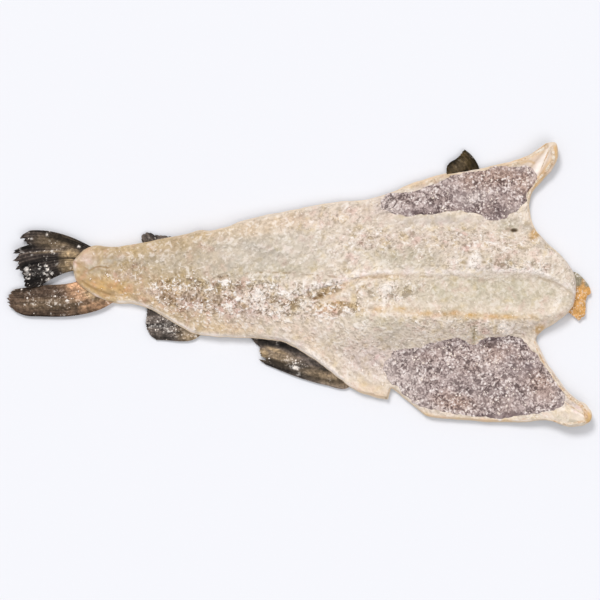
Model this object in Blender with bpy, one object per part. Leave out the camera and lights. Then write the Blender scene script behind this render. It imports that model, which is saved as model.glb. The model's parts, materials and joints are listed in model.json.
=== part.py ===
"""A split cod, salted and dried, lying on its skin with the flesh up.

The fish was opened along the belly and laid out flat, with its head cut off and the front of
its backbone pulled out. It is one solid: flesh, skin, fins and collar bones grow together.

Plan positions are in hundredths of the fish's total length, the way fish are measured: x runs
from the tail towards the head and y towards the upper flap. Heights are in metres.
"""

import bmesh
import bpy
import numpy as np

TOTAL_LENGTH = 0.650  # tip of the tail fin to tip of the lower collar bone
HUNDREDTH = TOTAL_LENGTH / 100

# The split body's outline, as its four sides. Each runs smoothly through its points.
UPPER_EDGE = (
    (-38.7, 3.9), (-37.4, 5.5), (-35.9, 6.5), (-31.1, 6.6), (-27.0, 7.2), (-21.6, 8.3),
    (-13.0, 9.7), (-9.3, 11.1), (-3.8, 12.3), (7.1, 14.3), (12.5, 14.8), (15.6, 15.8),
    (19.3, 17.4), (23.4, 18.7), (33.0, 20.4), (39.8, 22.5), (42.2, 24.2),
)
LOWER_EDGE = (
    (-38.7, 2.7), (-37.9, 0.2), (-35.9, -1.6), (-33.8, -2.7), (-31.6, -3.4), (-28.7, -3.4),
    (-26.7, -3.9), (-20.5, -7.2), (-18.1, -8.5), (-15.1, -9.0), (-6.2, -9.5), (-2.5, -10.1),
    (0.8, -11.8), (7.1, -16.4), (9.1, -17.9), (12.5, -19.3), (17.6, -20.4), (19.8, -21.8),
    (29.2, -23.4), (38.6, -23.6), (42.3, -23.3), (46.2, -24.4), (48.6, -24.2),
)
TAIL_END = ((-38.7, 2.7), (-38.7, 3.9))
HEAD_END = (
    (48.6, -24.2), (49.8, -23.4), (50.0, -21.8), (49.2, -20.5), (47.4, -19.5), (44.2, -15.8),
    (41.5, -11.2), (40.8, -9.2), (41.7, -8.1), (44.0, -6.6), (46.9, -4.1), (47.5, -1.0),
    (47.4, 1.2), (45.2, 4.8), (42.5, 7.3), (40.1, 10.6), (39.7, 12.6), (39.8, 15.0),
    (41.9, 17.7), (43.7, 19.9), (44.5, 22.4), (43.9, 24.3), (42.2, 24.2),
)

# Lines that run the length of the body: where the back is folded, and the two banks of the
# trough that the backbone was pulled from.
BACK_LINE = ((-39.6, 3.8), (-25.3, 2.4), (-8.3, 0.7), (2.0, -0.5), (17.3, -0.9), (47.4, -1.0))
UPPER_BANK = ((-2.4, -2.5), (2.2, -1.2), (7.0, 0.4), (11.8, 1.7), (33.1, 2.1), (41.7, 1.5), (47.4, -1.4))
LOWER_BANK = ((-2.4, -5.4), (7.0, -4.4), (12.0, -4.7), (20.0, -5.2), (40.0, -5.5), (47.4, -4.4))

# A notch torn in the edge of the lower flap: its inner end, then its mouth, past the edge.
NOTCH = ((15.9, -17.9), (15.3, -22.6), (21.5, -22.6))
WEDGE_REACH = 0.05  # how far the notch's cutter goes past the fish above and below, in metres

# Half the width of each loin at stations along the body, in hundredths, and the shares of that
# width between which it falls away to the flap.
UPPER_LOIN_WIDTH = ((-40, 4.5), (-25, 6.5), (-8, 11.5), (5, 13.5), (17, 13.2), (40, 10.5), (48, 7.0))
LOWER_LOIN_WIDTH = ((-40, 4.5), (-25, 7.0), (-8, 10.0), (5, 12.0), (17, 10.8), (40, 8.0), (48, 5.0))
LOIN_SHOULDER = (0.45, 1.05)

# Thicknesses at stations along the body, in metres.
LOIN_THICKNESS = (
    (-40, 0.011), (-30, 0.014), (-15, 0.019), (0, 0.025), (18, 0.031), (30, 0.032), (40, 0.029),
    (48, 0.018),
)
FLAP_THICKNESS = ((-40, 0.009), (-15, 0.011), (5, 0.009), (20, 0.0065), (50, 0.006))
TROUGH_DEPTH = ((0, 0.0), (6, 0.0015), (12, 0.004), (20, 0.0070), (40, 0.007), (48, 0.003))
TROUGH_WALL = (0.5, 1.25)  # shares of half the trough's width between which its sides rise
RIM_THICKNESS = 0.0045  # the thin dried edge all round
RIM_REACH = 0.012  # how far in the edge's rounding goes

# How the dried edges lift off the table, in metres, and the stretches, in hundredths along the
# body or out from its middle, in which each lift sets in.
EDGE_LIFT = 0.0035
EDGE_LIFT_REACH = 0.030  # metres
EDGE_LIFT_ALONG = (-36, -20)
COLLAR_LIFT = 0.009  # extra lift at the tips of the collar bones
COLLAR_LIFT_ALONG = (33, 48)
COLLAR_LIFT_OUT = (12, 24)
TAIL_LIFT = 0.003
TAIL_LIFT_ALONG = (-39, -31)
FLAT_BELOW = 0.00005  # an underside lower than this lies flat, in metres

BODY_CELLS = (62, 28)  # along and across

# Each fin's four sides, from its root to its ragged tips: trailing edge, leading edge, root, tips.
UPPER_TAIL_LOBE = (
    ((-37.0, 3.0), (-39.6, 2.3), (-43.2, 0.9), (-45.8, -0.4)),
    ((-34.6, 6.2), (-36.7, 7.0), (-41.0, 8.9), (-44.9, 9.3), (-47.4, 8.2)),
    ((-37.0, 3.0), (-34.6, 6.2)),
    ((-45.8, -0.4), (-47.2, 0.8), (-48.2, 2.6), (-48.0, 3.5), (-48.6, 4.5), (-48.6, 5.6),
     (-47.5, 6.5), (-47.4, 8.2)),
)
LOWER_TAIL_LOBE = (
    ((-30.6, -2.4), (-33.6, -4.2), (-37.2, -5.2), (-44.0, -5.5), (-46.8, -5.3), (-48.5, -4.6)),
    ((-35.6, 1.2), (-38.9, 0.2), (-44.0, -0.2), (-49.0, -0.9)),
    ((-30.6, -2.4), (-35.6, 1.2)),
    ((-48.5, -4.6), (-49.9, -3.4), (-49.4, -2.8), (-50.0, -2.2), (-49.4, -1.7), (-49.0, -0.9)),
)
THIRD_DORSAL_FIN = (
    ((-25.6, 5.6), (-27.7, 7.0)),
    ((-21.0, 6.4), (-22.0, 8.2)),
    ((-25.6, 5.6), (-21.0, 6.4)),
    ((-27.7, 7.0), (-27.0, 8.2), (-26.0, 8.8), (-22.0, 8.2)),
)
SECOND_ANAL_FIN = (
    ((-14.6, -6.2), (-17.4, -9.2), (-24.3, -9.5)),
    ((-20.0, -3.4), (-26.0, -4.1)),
    ((-14.6, -6.2), (-20.0, -3.4)),
    ((-24.3, -9.5), (-25.6, -8.6), (-26.1, -6.8), (-25.6, -5.8), (-26.0, -4.1)),
)
FIRST_ANAL_FIN = (
    ((9.8, -16.4), (8.4, -17.7), (4.6, -17.2), (0.6, -16.1), (-5.6, -13.7)),
    ((-0.2, -7.0), (-8.1, -9.2)),
    ((9.8, -16.4), (-0.2, -7.0)),
    ((-5.6, -13.7), (-7.1, -12.4), (-6.9, -10.9), (-8.1, -9.2)),
)
PECTORAL_FIN = (
    ((31.2, 17.2), (30.8, 20.4), (29.7, 22.3), (28.4, 23.0)),
    ((26.0, 16.4), (25.1, 19.4)),
    ((31.2, 17.2), (26.0, 16.4)),
    ((28.4, 23.0), (27.6, 21.9), (26.2, 21.1), (25.0, 20.5), (25.1, 19.4)),
)
NAPE_SKIN = (
    ((43.8, -3.4), (46.4, -5.0), (48.0, -6.3)),
    ((44.6, 1.4), (47.0, 2.1), (49.9, -0.4)),
    ((43.8, -3.4), (44.6, 1.4)),
    ((48.0, -6.3), (49.2, -5.0), (49.5, -3.1), (50.0, -1.6), (49.9, -0.4)),
)
# Cells run out along the fin and across it; each pair of heights, and of thicknesses, is for the
# root and the tips, and bow is how far the tips are bowed up at the middle. All in metres.
FINS = {
    "upper_tail_lobe": dict(
        sides=UPPER_TAIL_LOBE, cells=(8, 12), heights=(0.0068, 0.0062),
        thicknesses=(0.0030, 0.0016), bow=0.0030,
    ),
    "lower_tail_lobe": dict(
        sides=LOWER_TAIL_LOBE, cells=(10, 8), heights=(0.0060, 0.0032),
        thicknesses=(0.0032, 0.0018), bow=0.0020,
    ),
    "third_dorsal_fin": dict(
        sides=THIRD_DORSAL_FIN, cells=(4, 6), heights=(0.0048, 0.0030),
        thicknesses=(0.0026, 0.0014), bow=0.0004,
    ),
    "second_anal_fin": dict(
        sides=SECOND_ANAL_FIN, cells=(8, 6), heights=(0.0034, 0.0022),
        thicknesses=(0.0026, 0.0014), bow=0.0010,
    ),
    "first_anal_fin": dict(
        sides=FIRST_ANAL_FIN, cells=(10, 6), heights=(0.0032, 0.0024),
        thicknesses=(0.0026, 0.0014), bow=0.0012,
    ),
    "pectoral_fin": dict(
        sides=PECTORAL_FIN, cells=(7, 5), heights=(0.0036, 0.0036),
        thicknesses=(0.0028, 0.0016), bow=0.0020,
    ),
    "nape_skin": dict(
        sides=NAPE_SKIN, cells=(6, 6), heights=(0.0060, 0.0040),
        thicknesses=(0.0044, 0.0030), bow=0.0010,
    ),
}


def smoothstep(low, high, value):
    share = np.clip((value - low) / (high - low), 0, 1)
    return share * share * (3 - 2 * share)


def smooth_line(points, samples_per_span=16):
    """A smooth line through the points, as closely spaced points."""
    knots = np.array(points, float)
    if len(knots) == 2:
        return knots
    chord = np.linalg.norm(np.diff(knots, axis=0), axis=1)
    at_knot = np.concatenate([[0], np.cumsum(chord)])
    slope = np.gradient(knots, at_knot, axis=0)
    at = np.linspace(0, at_knot[-1], samples_per_span * (len(knots) - 1) + 1)
    span = np.clip(np.searchsorted(at_knot, at, side="right") - 1, 0, len(knots) - 2)
    width = (at_knot[span + 1] - at_knot[span])[:, None]
    share = (at - at_knot[span])[:, None] / width
    rest = 1 - share
    return (
        (1 + 2 * share) * rest**2 * knots[span]
        + share * rest**2 * width * slope[span]
        + share**2 * (3 - 2 * share) * knots[span + 1]
        - share**2 * rest * width * slope[span + 1]
    )


def points_on(line, shares):
    """Points at the given shares of a smooth line's length."""
    fine = smooth_line(line)
    length = np.concatenate([[0], np.cumsum(np.linalg.norm(np.diff(fine, axis=0), axis=1))])
    at = shares * length[-1]
    return np.stack([np.interp(at, length, fine[:, axis]) for axis in (0, 1)], axis=-1)


def station(stations, x):
    """The value at x of a quantity that is given at stations along the body."""
    fine = smooth_line(stations)
    return np.interp(x, fine[:, 0], fine[:, 1])


def spaced(cells, crowding):
    """Shares from 0 to 1, crowded towards both ends."""
    even = np.linspace(0, 1, cells + 1)
    return (1 - crowding) * even + crowding * (1 - np.cos(np.pi * even)) / 2


def patch(sides, out_shares, across_shares):
    """The plan of a sheet between four sides, as a grid of points: rows run out, columns across."""
    first, last, root, tips = (
        points_on(side, shares)
        for side, shares in zip(sides, (out_shares, out_shares, across_shares, across_shares))
    )
    out = out_shares[:, None, None]
    across = across_shares[None, :, None]
    ruled = (1 - across) * first[:, None] + across * last[:, None]
    lofted = (1 - out) * root[None] + out * tips[None]
    corners = (
        (1 - out) * (1 - across) * root[0]
        + (1 - out) * across * root[-1]
        + out * (1 - across) * tips[0]
        + out * across * tips[-1]
    )
    return ruled + lofted - corners


def outline():
    around = (LOWER_EDGE, HEAD_END, UPPER_EDGE[::-1], TAIL_END[::-1])
    return np.concatenate([smooth_line(side) for side in around])


def distance_to_outline(x, y):
    """Metres from each plan point to the body's outline."""
    edge = outline()
    return np.sqrt(
        np.min((x[..., None] - edge[:, 0]) ** 2 + (y[..., None] - edge[:, 1]) ** 2, axis=-1)
    ) * HUNDREDTH


def underside_height(x, y, to_edge):
    edge = EDGE_LIFT * (1 - smoothstep(0, EDGE_LIFT_REACH, to_edge)) * smoothstep(*EDGE_LIFT_ALONG, x)
    collar = COLLAR_LIFT * smoothstep(*COLLAR_LIFT_ALONG, x) * smoothstep(*COLLAR_LIFT_OUT, np.abs(y))
    tail = TAIL_LIFT * (1 - smoothstep(*TAIL_LIFT_ALONG, x))
    return edge + collar + tail


def body_thickness(x, y, to_edge):
    offset = y - station(BACK_LINE, x)
    loin_width = np.where(offset > 0, station(UPPER_LOIN_WIDTH, x), station(LOWER_LOIN_WIDTH, x))
    loin = 1 - smoothstep(*LOIN_SHOULDER, np.abs(offset) / loin_width)
    flap = station(FLAP_THICKNESS, x)
    thickness = flap + (station(LOIN_THICKNESS, x) - flap) * loin
    upper_bank, lower_bank = station(UPPER_BANK, x), station(LOWER_BANK, x)
    half_gap = (upper_bank - lower_bank) / 2
    from_middle = np.abs(y - (upper_bank + lower_bank) / 2) / half_gap
    thickness = thickness - station(TROUGH_DEPTH, x) * (1 - smoothstep(*TROUGH_WALL, from_middle))
    inward = np.clip(to_edge / RIM_REACH, 0, 1)
    rounding = np.sqrt(1 - (1 - inward) ** 2)
    return RIM_THICKNESS + (thickness - RIM_THICKNESS) * rounding


def slab(name, plan, underside, top, material):
    """A closed solid between two height fields over one grid of plan points."""
    rows, columns = plan.shape[:2]
    shape = bmesh.new()
    layers = []
    for heights in (underside, top):
        layers.append([
            [
                shape.verts.new((*(plan[row, column] * HUNDREDTH), heights[row, column]))
                for column in range(columns)
            ]
            for row in range(rows)
        ])
    for layer in layers:
        for row in range(rows - 1):
            for column in range(columns - 1):
                shape.faces.new((
                    layer[row][column], layer[row + 1][column],
                    layer[row + 1][column + 1], layer[row][column + 1],
                ))
    around = (
        [(0, column) for column in range(columns)]
        + [(row, columns - 1) for row in range(1, rows)]
        + [(rows - 1, column) for column in range(columns - 2, -1, -1)]
        + [(row, 0) for row in range(rows - 2, 0, -1)]
    )
    for (row, column), (next_row, next_column) in zip(around, around[1:] + around[:1]):
        shape.faces.new((
            layers[0][row][column], layers[0][next_row][next_column],
            layers[1][next_row][next_column], layers[1][row][column],
        ))
    flat = [face for face in shape.faces if max(vert.co.z for vert in face.verts) == 0]
    inner_edges = {edge for face in flat for edge in face.edges if set(edge.link_faces) <= set(flat)}
    bmesh.ops.dissolve_edges(shape, edges=list(inner_edges), use_verts=True)
    return mesh_object(name, shape, material)


def mesh_object(name, shape, material):
    """The closed shape as an object with its faces turned outwards."""
    bmesh.ops.recalc_face_normals(shape, faces=shape.faces)
    mesh = bpy.data.meshes.new(name)
    shape.to_mesh(mesh)
    shape.free()
    mesh.shade_smooth()
    mesh.set_sharp_from_angle(angle=np.radians(50))
    mesh.materials.append(material)
    made = bpy.data.objects.new(name, mesh)
    bpy.context.scene.collection.objects.link(made)
    return made


def finish(name, colour, roughness):
    material = bpy.data.materials.new(name)
    material.use_nodes = True
    surface = material.node_tree.nodes["Principled BSDF"]
    surface.inputs["Base Color"].default_value = (*colour, 1)
    surface.inputs["Roughness"].default_value = roughness
    surface.inputs["Metallic"].default_value = 0
    return material


def split_body(material):
    """Flesh, skin and collar bones: thick along both loins, thin at the belly flaps."""
    plan = patch(
        (LOWER_EDGE, UPPER_EDGE, TAIL_END, HEAD_END),
        spaced(BODY_CELLS[0], 0.25),
        spaced(BODY_CELLS[1], 0.45),
    )
    x, y = plan[..., 0], plan[..., 1]
    to_edge = distance_to_outline(x, y)
    underside = underside_height(x, y, to_edge)
    underside[underside < FLAT_BELOW] = 0
    top = underside + body_thickness(x, y, to_edge)
    return slab("salted_cod", plan, underside, top, material)


def fin(name, sides, cells, heights, thicknesses, bow, material):
    """A fin or a flap of skin: a thin sheet that thins out towards its tips."""
    out_shares, across_shares = (spaced(count, 0.0) for count in cells)
    plan = patch(sides, out_shares, across_shares)
    out = np.broadcast_to(out_shares[:, None], plan.shape[:2])
    across = np.broadcast_to(across_shares[None], plan.shape[:2])
    middle = (
        heights[0] + (heights[1] - heights[0]) * out
        + bow * out * (1 - (2 * across - 1) ** 2)
    )
    half = (thicknesses[0] + (thicknesses[1] - thicknesses[0]) * out) / 2
    return slab(name, plan, middle - half, middle + half, material)


def notch_wedge(material):
    """A three-sided post, taller than the fish, that cuts the notch in the lower flap."""
    shape = bmesh.new()
    foot = [shape.verts.new((x * HUNDREDTH, y * HUNDREDTH, -WEDGE_REACH)) for x, y in NOTCH]
    raised = bmesh.ops.extrude_face_region(shape, geom=[shape.faces.new(foot)])["geom"]
    top = [part for part in raised if isinstance(part, bmesh.types.BMVert)]
    bmesh.ops.translate(shape, verts=top, vec=(0, 0, 2 * WEDGE_REACH))
    return mesh_object("notch", shape, material)


def combine(body, piece, operation):
    """Joins the piece to the body or cuts it away, with an exact Boolean."""
    piece.hide_render = True
    piece.display_type = "WIRE"
    boolean = body.modifiers.new(operation.lower() + "_" + piece.name, "BOOLEAN")
    boolean.operation = operation
    boolean.solver = "EXACT"
    boolean.object = piece
    boolean.material_mode = "TRANSFER"


def clear_scene():
    for old in list(bpy.data.objects):
        bpy.data.objects.remove(old, do_unlink=True)


def main():
    clear_scene()
    flesh = finish("cured_flesh", (0.74, 0.63, 0.50), 0.6)
    skin = finish("dried_fin_skin", (0.13, 0.10, 0.08), 0.55)
    cod = split_body(flesh)
    combine(cod, notch_wedge(flesh), "DIFFERENCE")
    for name, measures in FINS.items():
        combine(cod, fin(name, material=skin, **measures), "UNION")


main()
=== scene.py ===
"""A split cod, salted and dried, in full detail around its fixed solid.

Flesh, skin, torn belly linings, fins with their rays, collar bones and curing salt are separate
pieces. Plan positions are in hundredths of the fish's length, x from the tail towards the head
and y towards the upper flap; heights and thicknesses are in metres.
"""

import json

import bpy
import numpy as np
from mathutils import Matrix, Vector
from mathutils.geometry import delaunay_2d_cdt
from mathutils.kdtree import KDTree

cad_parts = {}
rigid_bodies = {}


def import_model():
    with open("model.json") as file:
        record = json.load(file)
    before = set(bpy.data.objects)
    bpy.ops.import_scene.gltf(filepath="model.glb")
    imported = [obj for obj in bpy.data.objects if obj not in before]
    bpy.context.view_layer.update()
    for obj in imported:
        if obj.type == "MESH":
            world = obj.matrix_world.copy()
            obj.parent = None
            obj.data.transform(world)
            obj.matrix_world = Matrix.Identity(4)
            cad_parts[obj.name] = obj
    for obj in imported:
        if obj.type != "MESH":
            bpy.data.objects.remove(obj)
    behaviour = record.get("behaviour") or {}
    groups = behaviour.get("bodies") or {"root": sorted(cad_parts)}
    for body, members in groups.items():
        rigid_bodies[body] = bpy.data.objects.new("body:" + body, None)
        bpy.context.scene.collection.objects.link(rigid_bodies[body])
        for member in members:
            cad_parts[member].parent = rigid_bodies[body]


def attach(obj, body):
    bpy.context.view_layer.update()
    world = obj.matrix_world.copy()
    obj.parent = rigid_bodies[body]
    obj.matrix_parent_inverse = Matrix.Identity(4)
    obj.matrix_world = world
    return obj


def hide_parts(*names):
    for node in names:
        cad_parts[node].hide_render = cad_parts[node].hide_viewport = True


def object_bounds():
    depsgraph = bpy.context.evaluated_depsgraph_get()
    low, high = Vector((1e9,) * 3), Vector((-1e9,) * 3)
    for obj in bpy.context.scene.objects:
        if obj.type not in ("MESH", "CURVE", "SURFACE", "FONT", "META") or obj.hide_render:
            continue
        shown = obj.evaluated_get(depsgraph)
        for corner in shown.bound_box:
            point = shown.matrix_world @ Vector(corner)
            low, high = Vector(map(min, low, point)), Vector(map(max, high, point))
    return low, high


bl_info = {
    "name": "Split salt cod",
    "version": (1, 0, 0),
    "blender": (4, 5, 0),
    "location": "View3D > Sidebar > Salt cod",
    "description": "Builds a split, salted and dried cod with its fins, linings and salt",
    "category": "Add Mesh",
}

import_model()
CAD_LOW, CAD_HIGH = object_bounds()
HUNDREDTH = round(CAD_HIGH.x - CAD_LOW.x, 2) / 100
SOLID = "salted_cod"
TOP_ROOM = 0.0011  # how far the flesh is lowered, so that its relief and grains stay in the box
CLEAR_OF_TOP = 0.0001  # how far under the top of the box the flesh ends at the highest

# ---------------------------------------------------------------- the fish's lines

# The split body's outline, as its four sides. Each runs smoothly through its points.
UPPER_EDGE = (
    (-38.7, 3.9), (-37.4, 5.5), (-35.9, 6.5), (-31.1, 6.6), (-27.0, 7.2), (-21.6, 8.3), (-19.0, 8.75),
    (-17.2, 9.35), (-15.2, 9.35), (-13.0, 9.8), (-9.3, 11.1), (-3.8, 12.3), (7.1, 14.3), (12.5, 14.8),
    (15.6, 15.8), (19.3, 17.4), (23.4, 18.7), (33.0, 20.4), (39.8, 22.5), (42.2, 24.2),
)
LOWER_EDGE = (
    (-38.7, 2.7), (-37.9, 0.2), (-35.9, -1.6), (-33.8, -2.7), (-31.6, -3.4), (-28.7, -3.4),
    (-26.7, -3.9), (-20.5, -7.2), (-18.1, -8.5), (-15.1, -9.0), (-6.2, -9.5), (-2.5, -10.1),
    (0.8, -11.8), (7.1, -16.4), (9.1, -17.9), (12.5, -19.3), (17.6, -20.4), (19.8, -21.8),
    (29.2, -23.4), (38.6, -23.6), (42.3, -23.3), (46.2, -24.4), (48.6, -24.2),
)
TAIL_END = ((-38.7, 2.7), (-38.7, 3.9))
HEAD_END = (
    (48.6, -24.2), (49.8, -23.4), (50.0, -21.8), (49.2, -20.5), (47.4, -19.5), (44.2, -15.8),
    (41.5, -11.2), (40.8, -9.2), (41.7, -8.1), (44.0, -6.6), (46.9, -4.1), (47.5, -1.0),
    (47.4, 1.2), (45.2, 4.8), (42.5, 7.3), (40.1, 10.6), (39.7, 12.6), (39.8, 15.0),
    (41.9, 17.7), (43.7, 19.9), (44.5, 22.4), (43.9, 24.3), (42.2, 24.2),
)

# A notch torn in the edge of the lower flap: its inner end, then its mouth, past the edge.
NOTCH = ((15.9, -17.9), (15.3, -22.6), (21.5, -22.6))

# Lines that run the length of the body: where the back is folded, the two banks of the trough
# that the backbone was pulled from, the raised lip that the knife left along it, the seam
# between the two sides' muscles, and the stain that the blood left under the backbone.
BACK_LINE = ((-39.6, 3.8), (-25.3, 2.4), (-8.3, 0.7), (2.0, -0.5), (17.3, -0.9), (47.4, -1.0))
UPPER_BANK = ((-2.4, -2.5), (2.2, -1.2), (7.0, 0.4), (11.8, 1.7), (33.1, 2.1), (41.7, 1.5), (47.4, -1.4))
LOWER_BANK = ((-2.4, -5.4), (7.0, -4.4), (12.0, -4.7), (20.0, -5.2), (40.0, -5.5), (47.4, -4.4))
CUT_LIP = (
    (-2.4, -2.5), (2.2, -1.2), (7.0, 0.4), (11.8, 1.7), (18.3, 1.9), (25.1, 1.7), (33.1, 2.1),
    (41.7, 1.5), (44.7, 0.0), (47.2, -1.4),
)
SEAM = ((-14.0, 1.1), (-9.5, 1.7), (-5.7, 1.9), (1.5, 1.55), (4.0, 1.35), (7.8, 0.9))
BLOOD_LINE = (
    (6.4, -3.0), (11.9, -4.5), (16.0, -4.2), (21.0, -4.9), (26.5, -4.9), (33.0, -5.6), (40.0, -5.6),
)

UPPER_LOIN_WIDTH = ((-40, 4.5), (-25, 6.5), (-8, 11.5), (5, 13.5), (17, 13.2), (40, 10.5), (48, 7.0))
LOWER_LOIN_WIDTH = ((-40, 4.5), (-25, 7.0), (-8, 10.0), (5, 12.0), (17, 10.8), (40, 8.0), (48, 5.0))
LOIN_THICKNESS = (
    (-40, 0.011), (-30, 0.014), (-15, 0.019), (0, 0.025), (18, 0.031), (30, 0.032), (40, 0.029),
    (48, 0.018),
)
FLAP_THICKNESS = ((-40, 0.009), (-15, 0.011), (5, 0.009), (20, 0.0065), (50, 0.006))
TROUGH_DEPTH = ((0, 0.0), (6, 0.0015), (12, 0.004), (20, 0.0070), (40, 0.007), (48, 0.003))
RIM_THICKNESS = 0.0045
RIM_REACH = 0.012
THIN_RIM = 0.0022  # what is left of the rim at the very edge, where it has dried thin
THIN_RIM_REACH = 0.0035
EDGE_LIFT = 0.0035
EDGE_LIFT_REACH = 0.030
COLLAR_LIFT = 0.009
TAIL_LIFT = 0.003
SKIN_THICKNESS = 0.0011
SKIN_WRINKLES = 0.00022
STRAND_TURN = 36  # degrees that the muscles' strands turn outwards, away from the back
OUTLINE_SPACING = 0.06  # between the points of the finely divided outline, in hundredths
DRIED_IN = (0.0002, 0.0016)  # how far the outline is drawn in at least, and how much more at most

# Heights of the flesh's relief.
SLOW_WAVES = 0.0008
STRAND_RELIEF = 0.00016
CAKED_GRAINS, FINE_CAKED_GRAINS = 0.0011, 0.0005
CRUST_WAVES = 0.0003
CLUMP_HEIGHT = 0.0013
LIP_HEIGHT, LIP_UNDERCUT = 0.0013, 0.0004
CLEFT_DEPTH = 0.0016
BONE_MARKS = 0.0005
ROLLED_RIM = 0.0009
ROLLED_RIM_PLACE, ROLLED_RIM_WIDTH = 0.0028, 0.0016  # its distance from the edge, and how wide it is

# The linings' thickness over the flesh, and how deep they are set into it.
LINING_HEIGHT = 0.00035
LINING_RIM = 0.00005
LINING_RIM_REACH = 0.0022
LINING_WRINKLES = 0.00035
LINING_GRAINS, FINE_LINING_GRAINS = 0.0006, 0.0003
LINING_ROOT = 0.0008
LINING_TEAR = (-0.0011, 0.0048)  # how far its outline is torn in at least, and how much more at most

# The fins' membranes: half their thickness at root and tips, and their waves.
MEMBRANE_ROOT, MEMBRANE_TIP = 0.00085, 0.0005
FIN_WAVES = 0.0007
FIN_RIPPLE = 0.00022

# Soft patches: x, y, half length, half width, turn in degrees, strength.
SALT_CRUST = (
    (-15.5, -2.2, 11.0, 3.2, -8, 1.0), (-4.0, -3.2, 9.0, 2.6, -4, 1.0), (-10.0, -0.6, 8.0, 1.6, 0, 0.9),
    (-28.0, 1.4, 6.0, 3.0, -10, 0.5), (3.0, -1.2, 6.0, 1.6, 12, 0.9), (6.0, -4.4, 7.0, 1.8, 4, 0.75),
    (16.0, -1.2, 5.0, 2.0, 8, 0.8), (32.0, 6.6, 11.0, 3.6, -4, 0.6), (14.0, 7.6, 9.0, 2.6, 4, 0.6),
    (13.0, -11.5, 6.0, 3.6, -30, 0.4), (37.0, 3.2, 8.0, 1.2, -4, 0.7), (27.0, -7.0, 9.0, 1.8, -4, 0.6),
    (6.0, 11.4, 8.0, 1.8, 8, 0.45),
)
SALT_CLUMPS = (
    (-7.3, -2.1, 1.6, 1.0, 20, 0.9), (-6.8, -3.7, 1.2, 0.8, 0, 0.6), (15.3, -0.5, 1.5, 0.8, 20, 0.9),
    (14.7, -2.6, 0.5, 1.8, -10, 0.8), (35.0, -7.7, 1.2, 0.75, -20, 1.0), (29.8, 3.9, 0.9, 1.5, -20, 1.0),
    (40.0, 1.9, 1.8, 0.3, -12, 0.7), (-3.0, -4.0, 1.0, 0.7, 10, 0.5), (43.9, -3.4, 0.5, 2.0, -25, 0.5),
    (1.6, -3.4, 1.6, 0.7, 5, 0.4), (11.2, -7.4, 1.3, 0.7, 30, 0.35), (27.0, 4.0, 1.6, 0.8, 10, 0.4),
)
AMBER_TINTS = (
    (-34.4, -1.0, 3.6, 1.4, -14, 0.95), (-31.0, -1.2, 3.2, 1.3, 0, 0.6),
    (-37.2, 1.6, 1.2, 2.4, 12, 0.5), (-33.5, 5.3, 4.5, 0.9, 0, 0.3), (12.8, -18.4, 3.4, 1.3, -20, 0.4),
    (22.4, 18.0, 5.8, 0.8, 15, 0.6), (39.9, 13.4, 0.5, 3.4, 4, 1.0), (36.0, 20.6, 5.0, 0.6, 13, 0.45),
    (41.0, 17.2, 2.0, 0.8, 56, 1.0), (39.0, 21.9, 3.4, 0.7, 16, 0.7), (49.3, -22.9, 0.7, 1.3, 10, 1.0),
    (41.0, -7.7, 1.0, 0.8, 30, 0.9), (40.4, 8.6, 0.8, 1.4, -42, 1.0), (-12.0, -7.6, 5.0, 0.8, -4, 0.35),
    (2.0, -10.0, 6.0, 1.4, -36, 0.2), (-26.0, -2.6, 4.0, 0.8, -28, 0.35),
    (45.0, -5.8, 2.6, 0.9, 30, 0.25), (-15.0, 8.6, 3.0, 0.8, 11, 0.2), (-4.6, 10.0, 7.0, 1.4, 11, 0.3),
    (5.0, -1.9, 3.6, 0.8, 24, 0.45), (5.6, -4.0, 3.4, 1.0, 4, 0.6), (30.0, -5.6, 12.0, 0.5, -2, 0.35),
    (-32.6, -0.6, 4.0, 1.6, -20, 1.0),
)
BLUSH_TINTS = (
    (-36.0, 4.4, 1.4, 1.1, 20, 1.0), (-29.2, 1.4, 1.8, 0.7, -10, 0.8), (-20.0, -2.6, 6.0, 1.8, -6, 0.9),
    (-9.0, -3.6, 6.0, 2.4, -6, 0.8), (6.0, 11.5, 9.0, 1.4, 6, 0.4), (4.0, -5.0, 4.0, 1.0, 8, 0.6),
    (15.5, 7.5, 8.0, 1.5, 0, 0.4), (1.0, -7.8, 3.5, 1.2, -10, 0.3), (-10.6, -7.2, 1.4, 0.7, 0, 0.7),
    (28.0, 6.4, 9.0, 2.0, -2, 0.35), (12.0, -12.2, 3.6, 2.2, -20, 0.6),
    (-1.0, -10.0, 4.0, 0.4, -14, 0.6), (41.2, 20.6, 3.0, 2.0, 50, 0.6),
)
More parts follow.
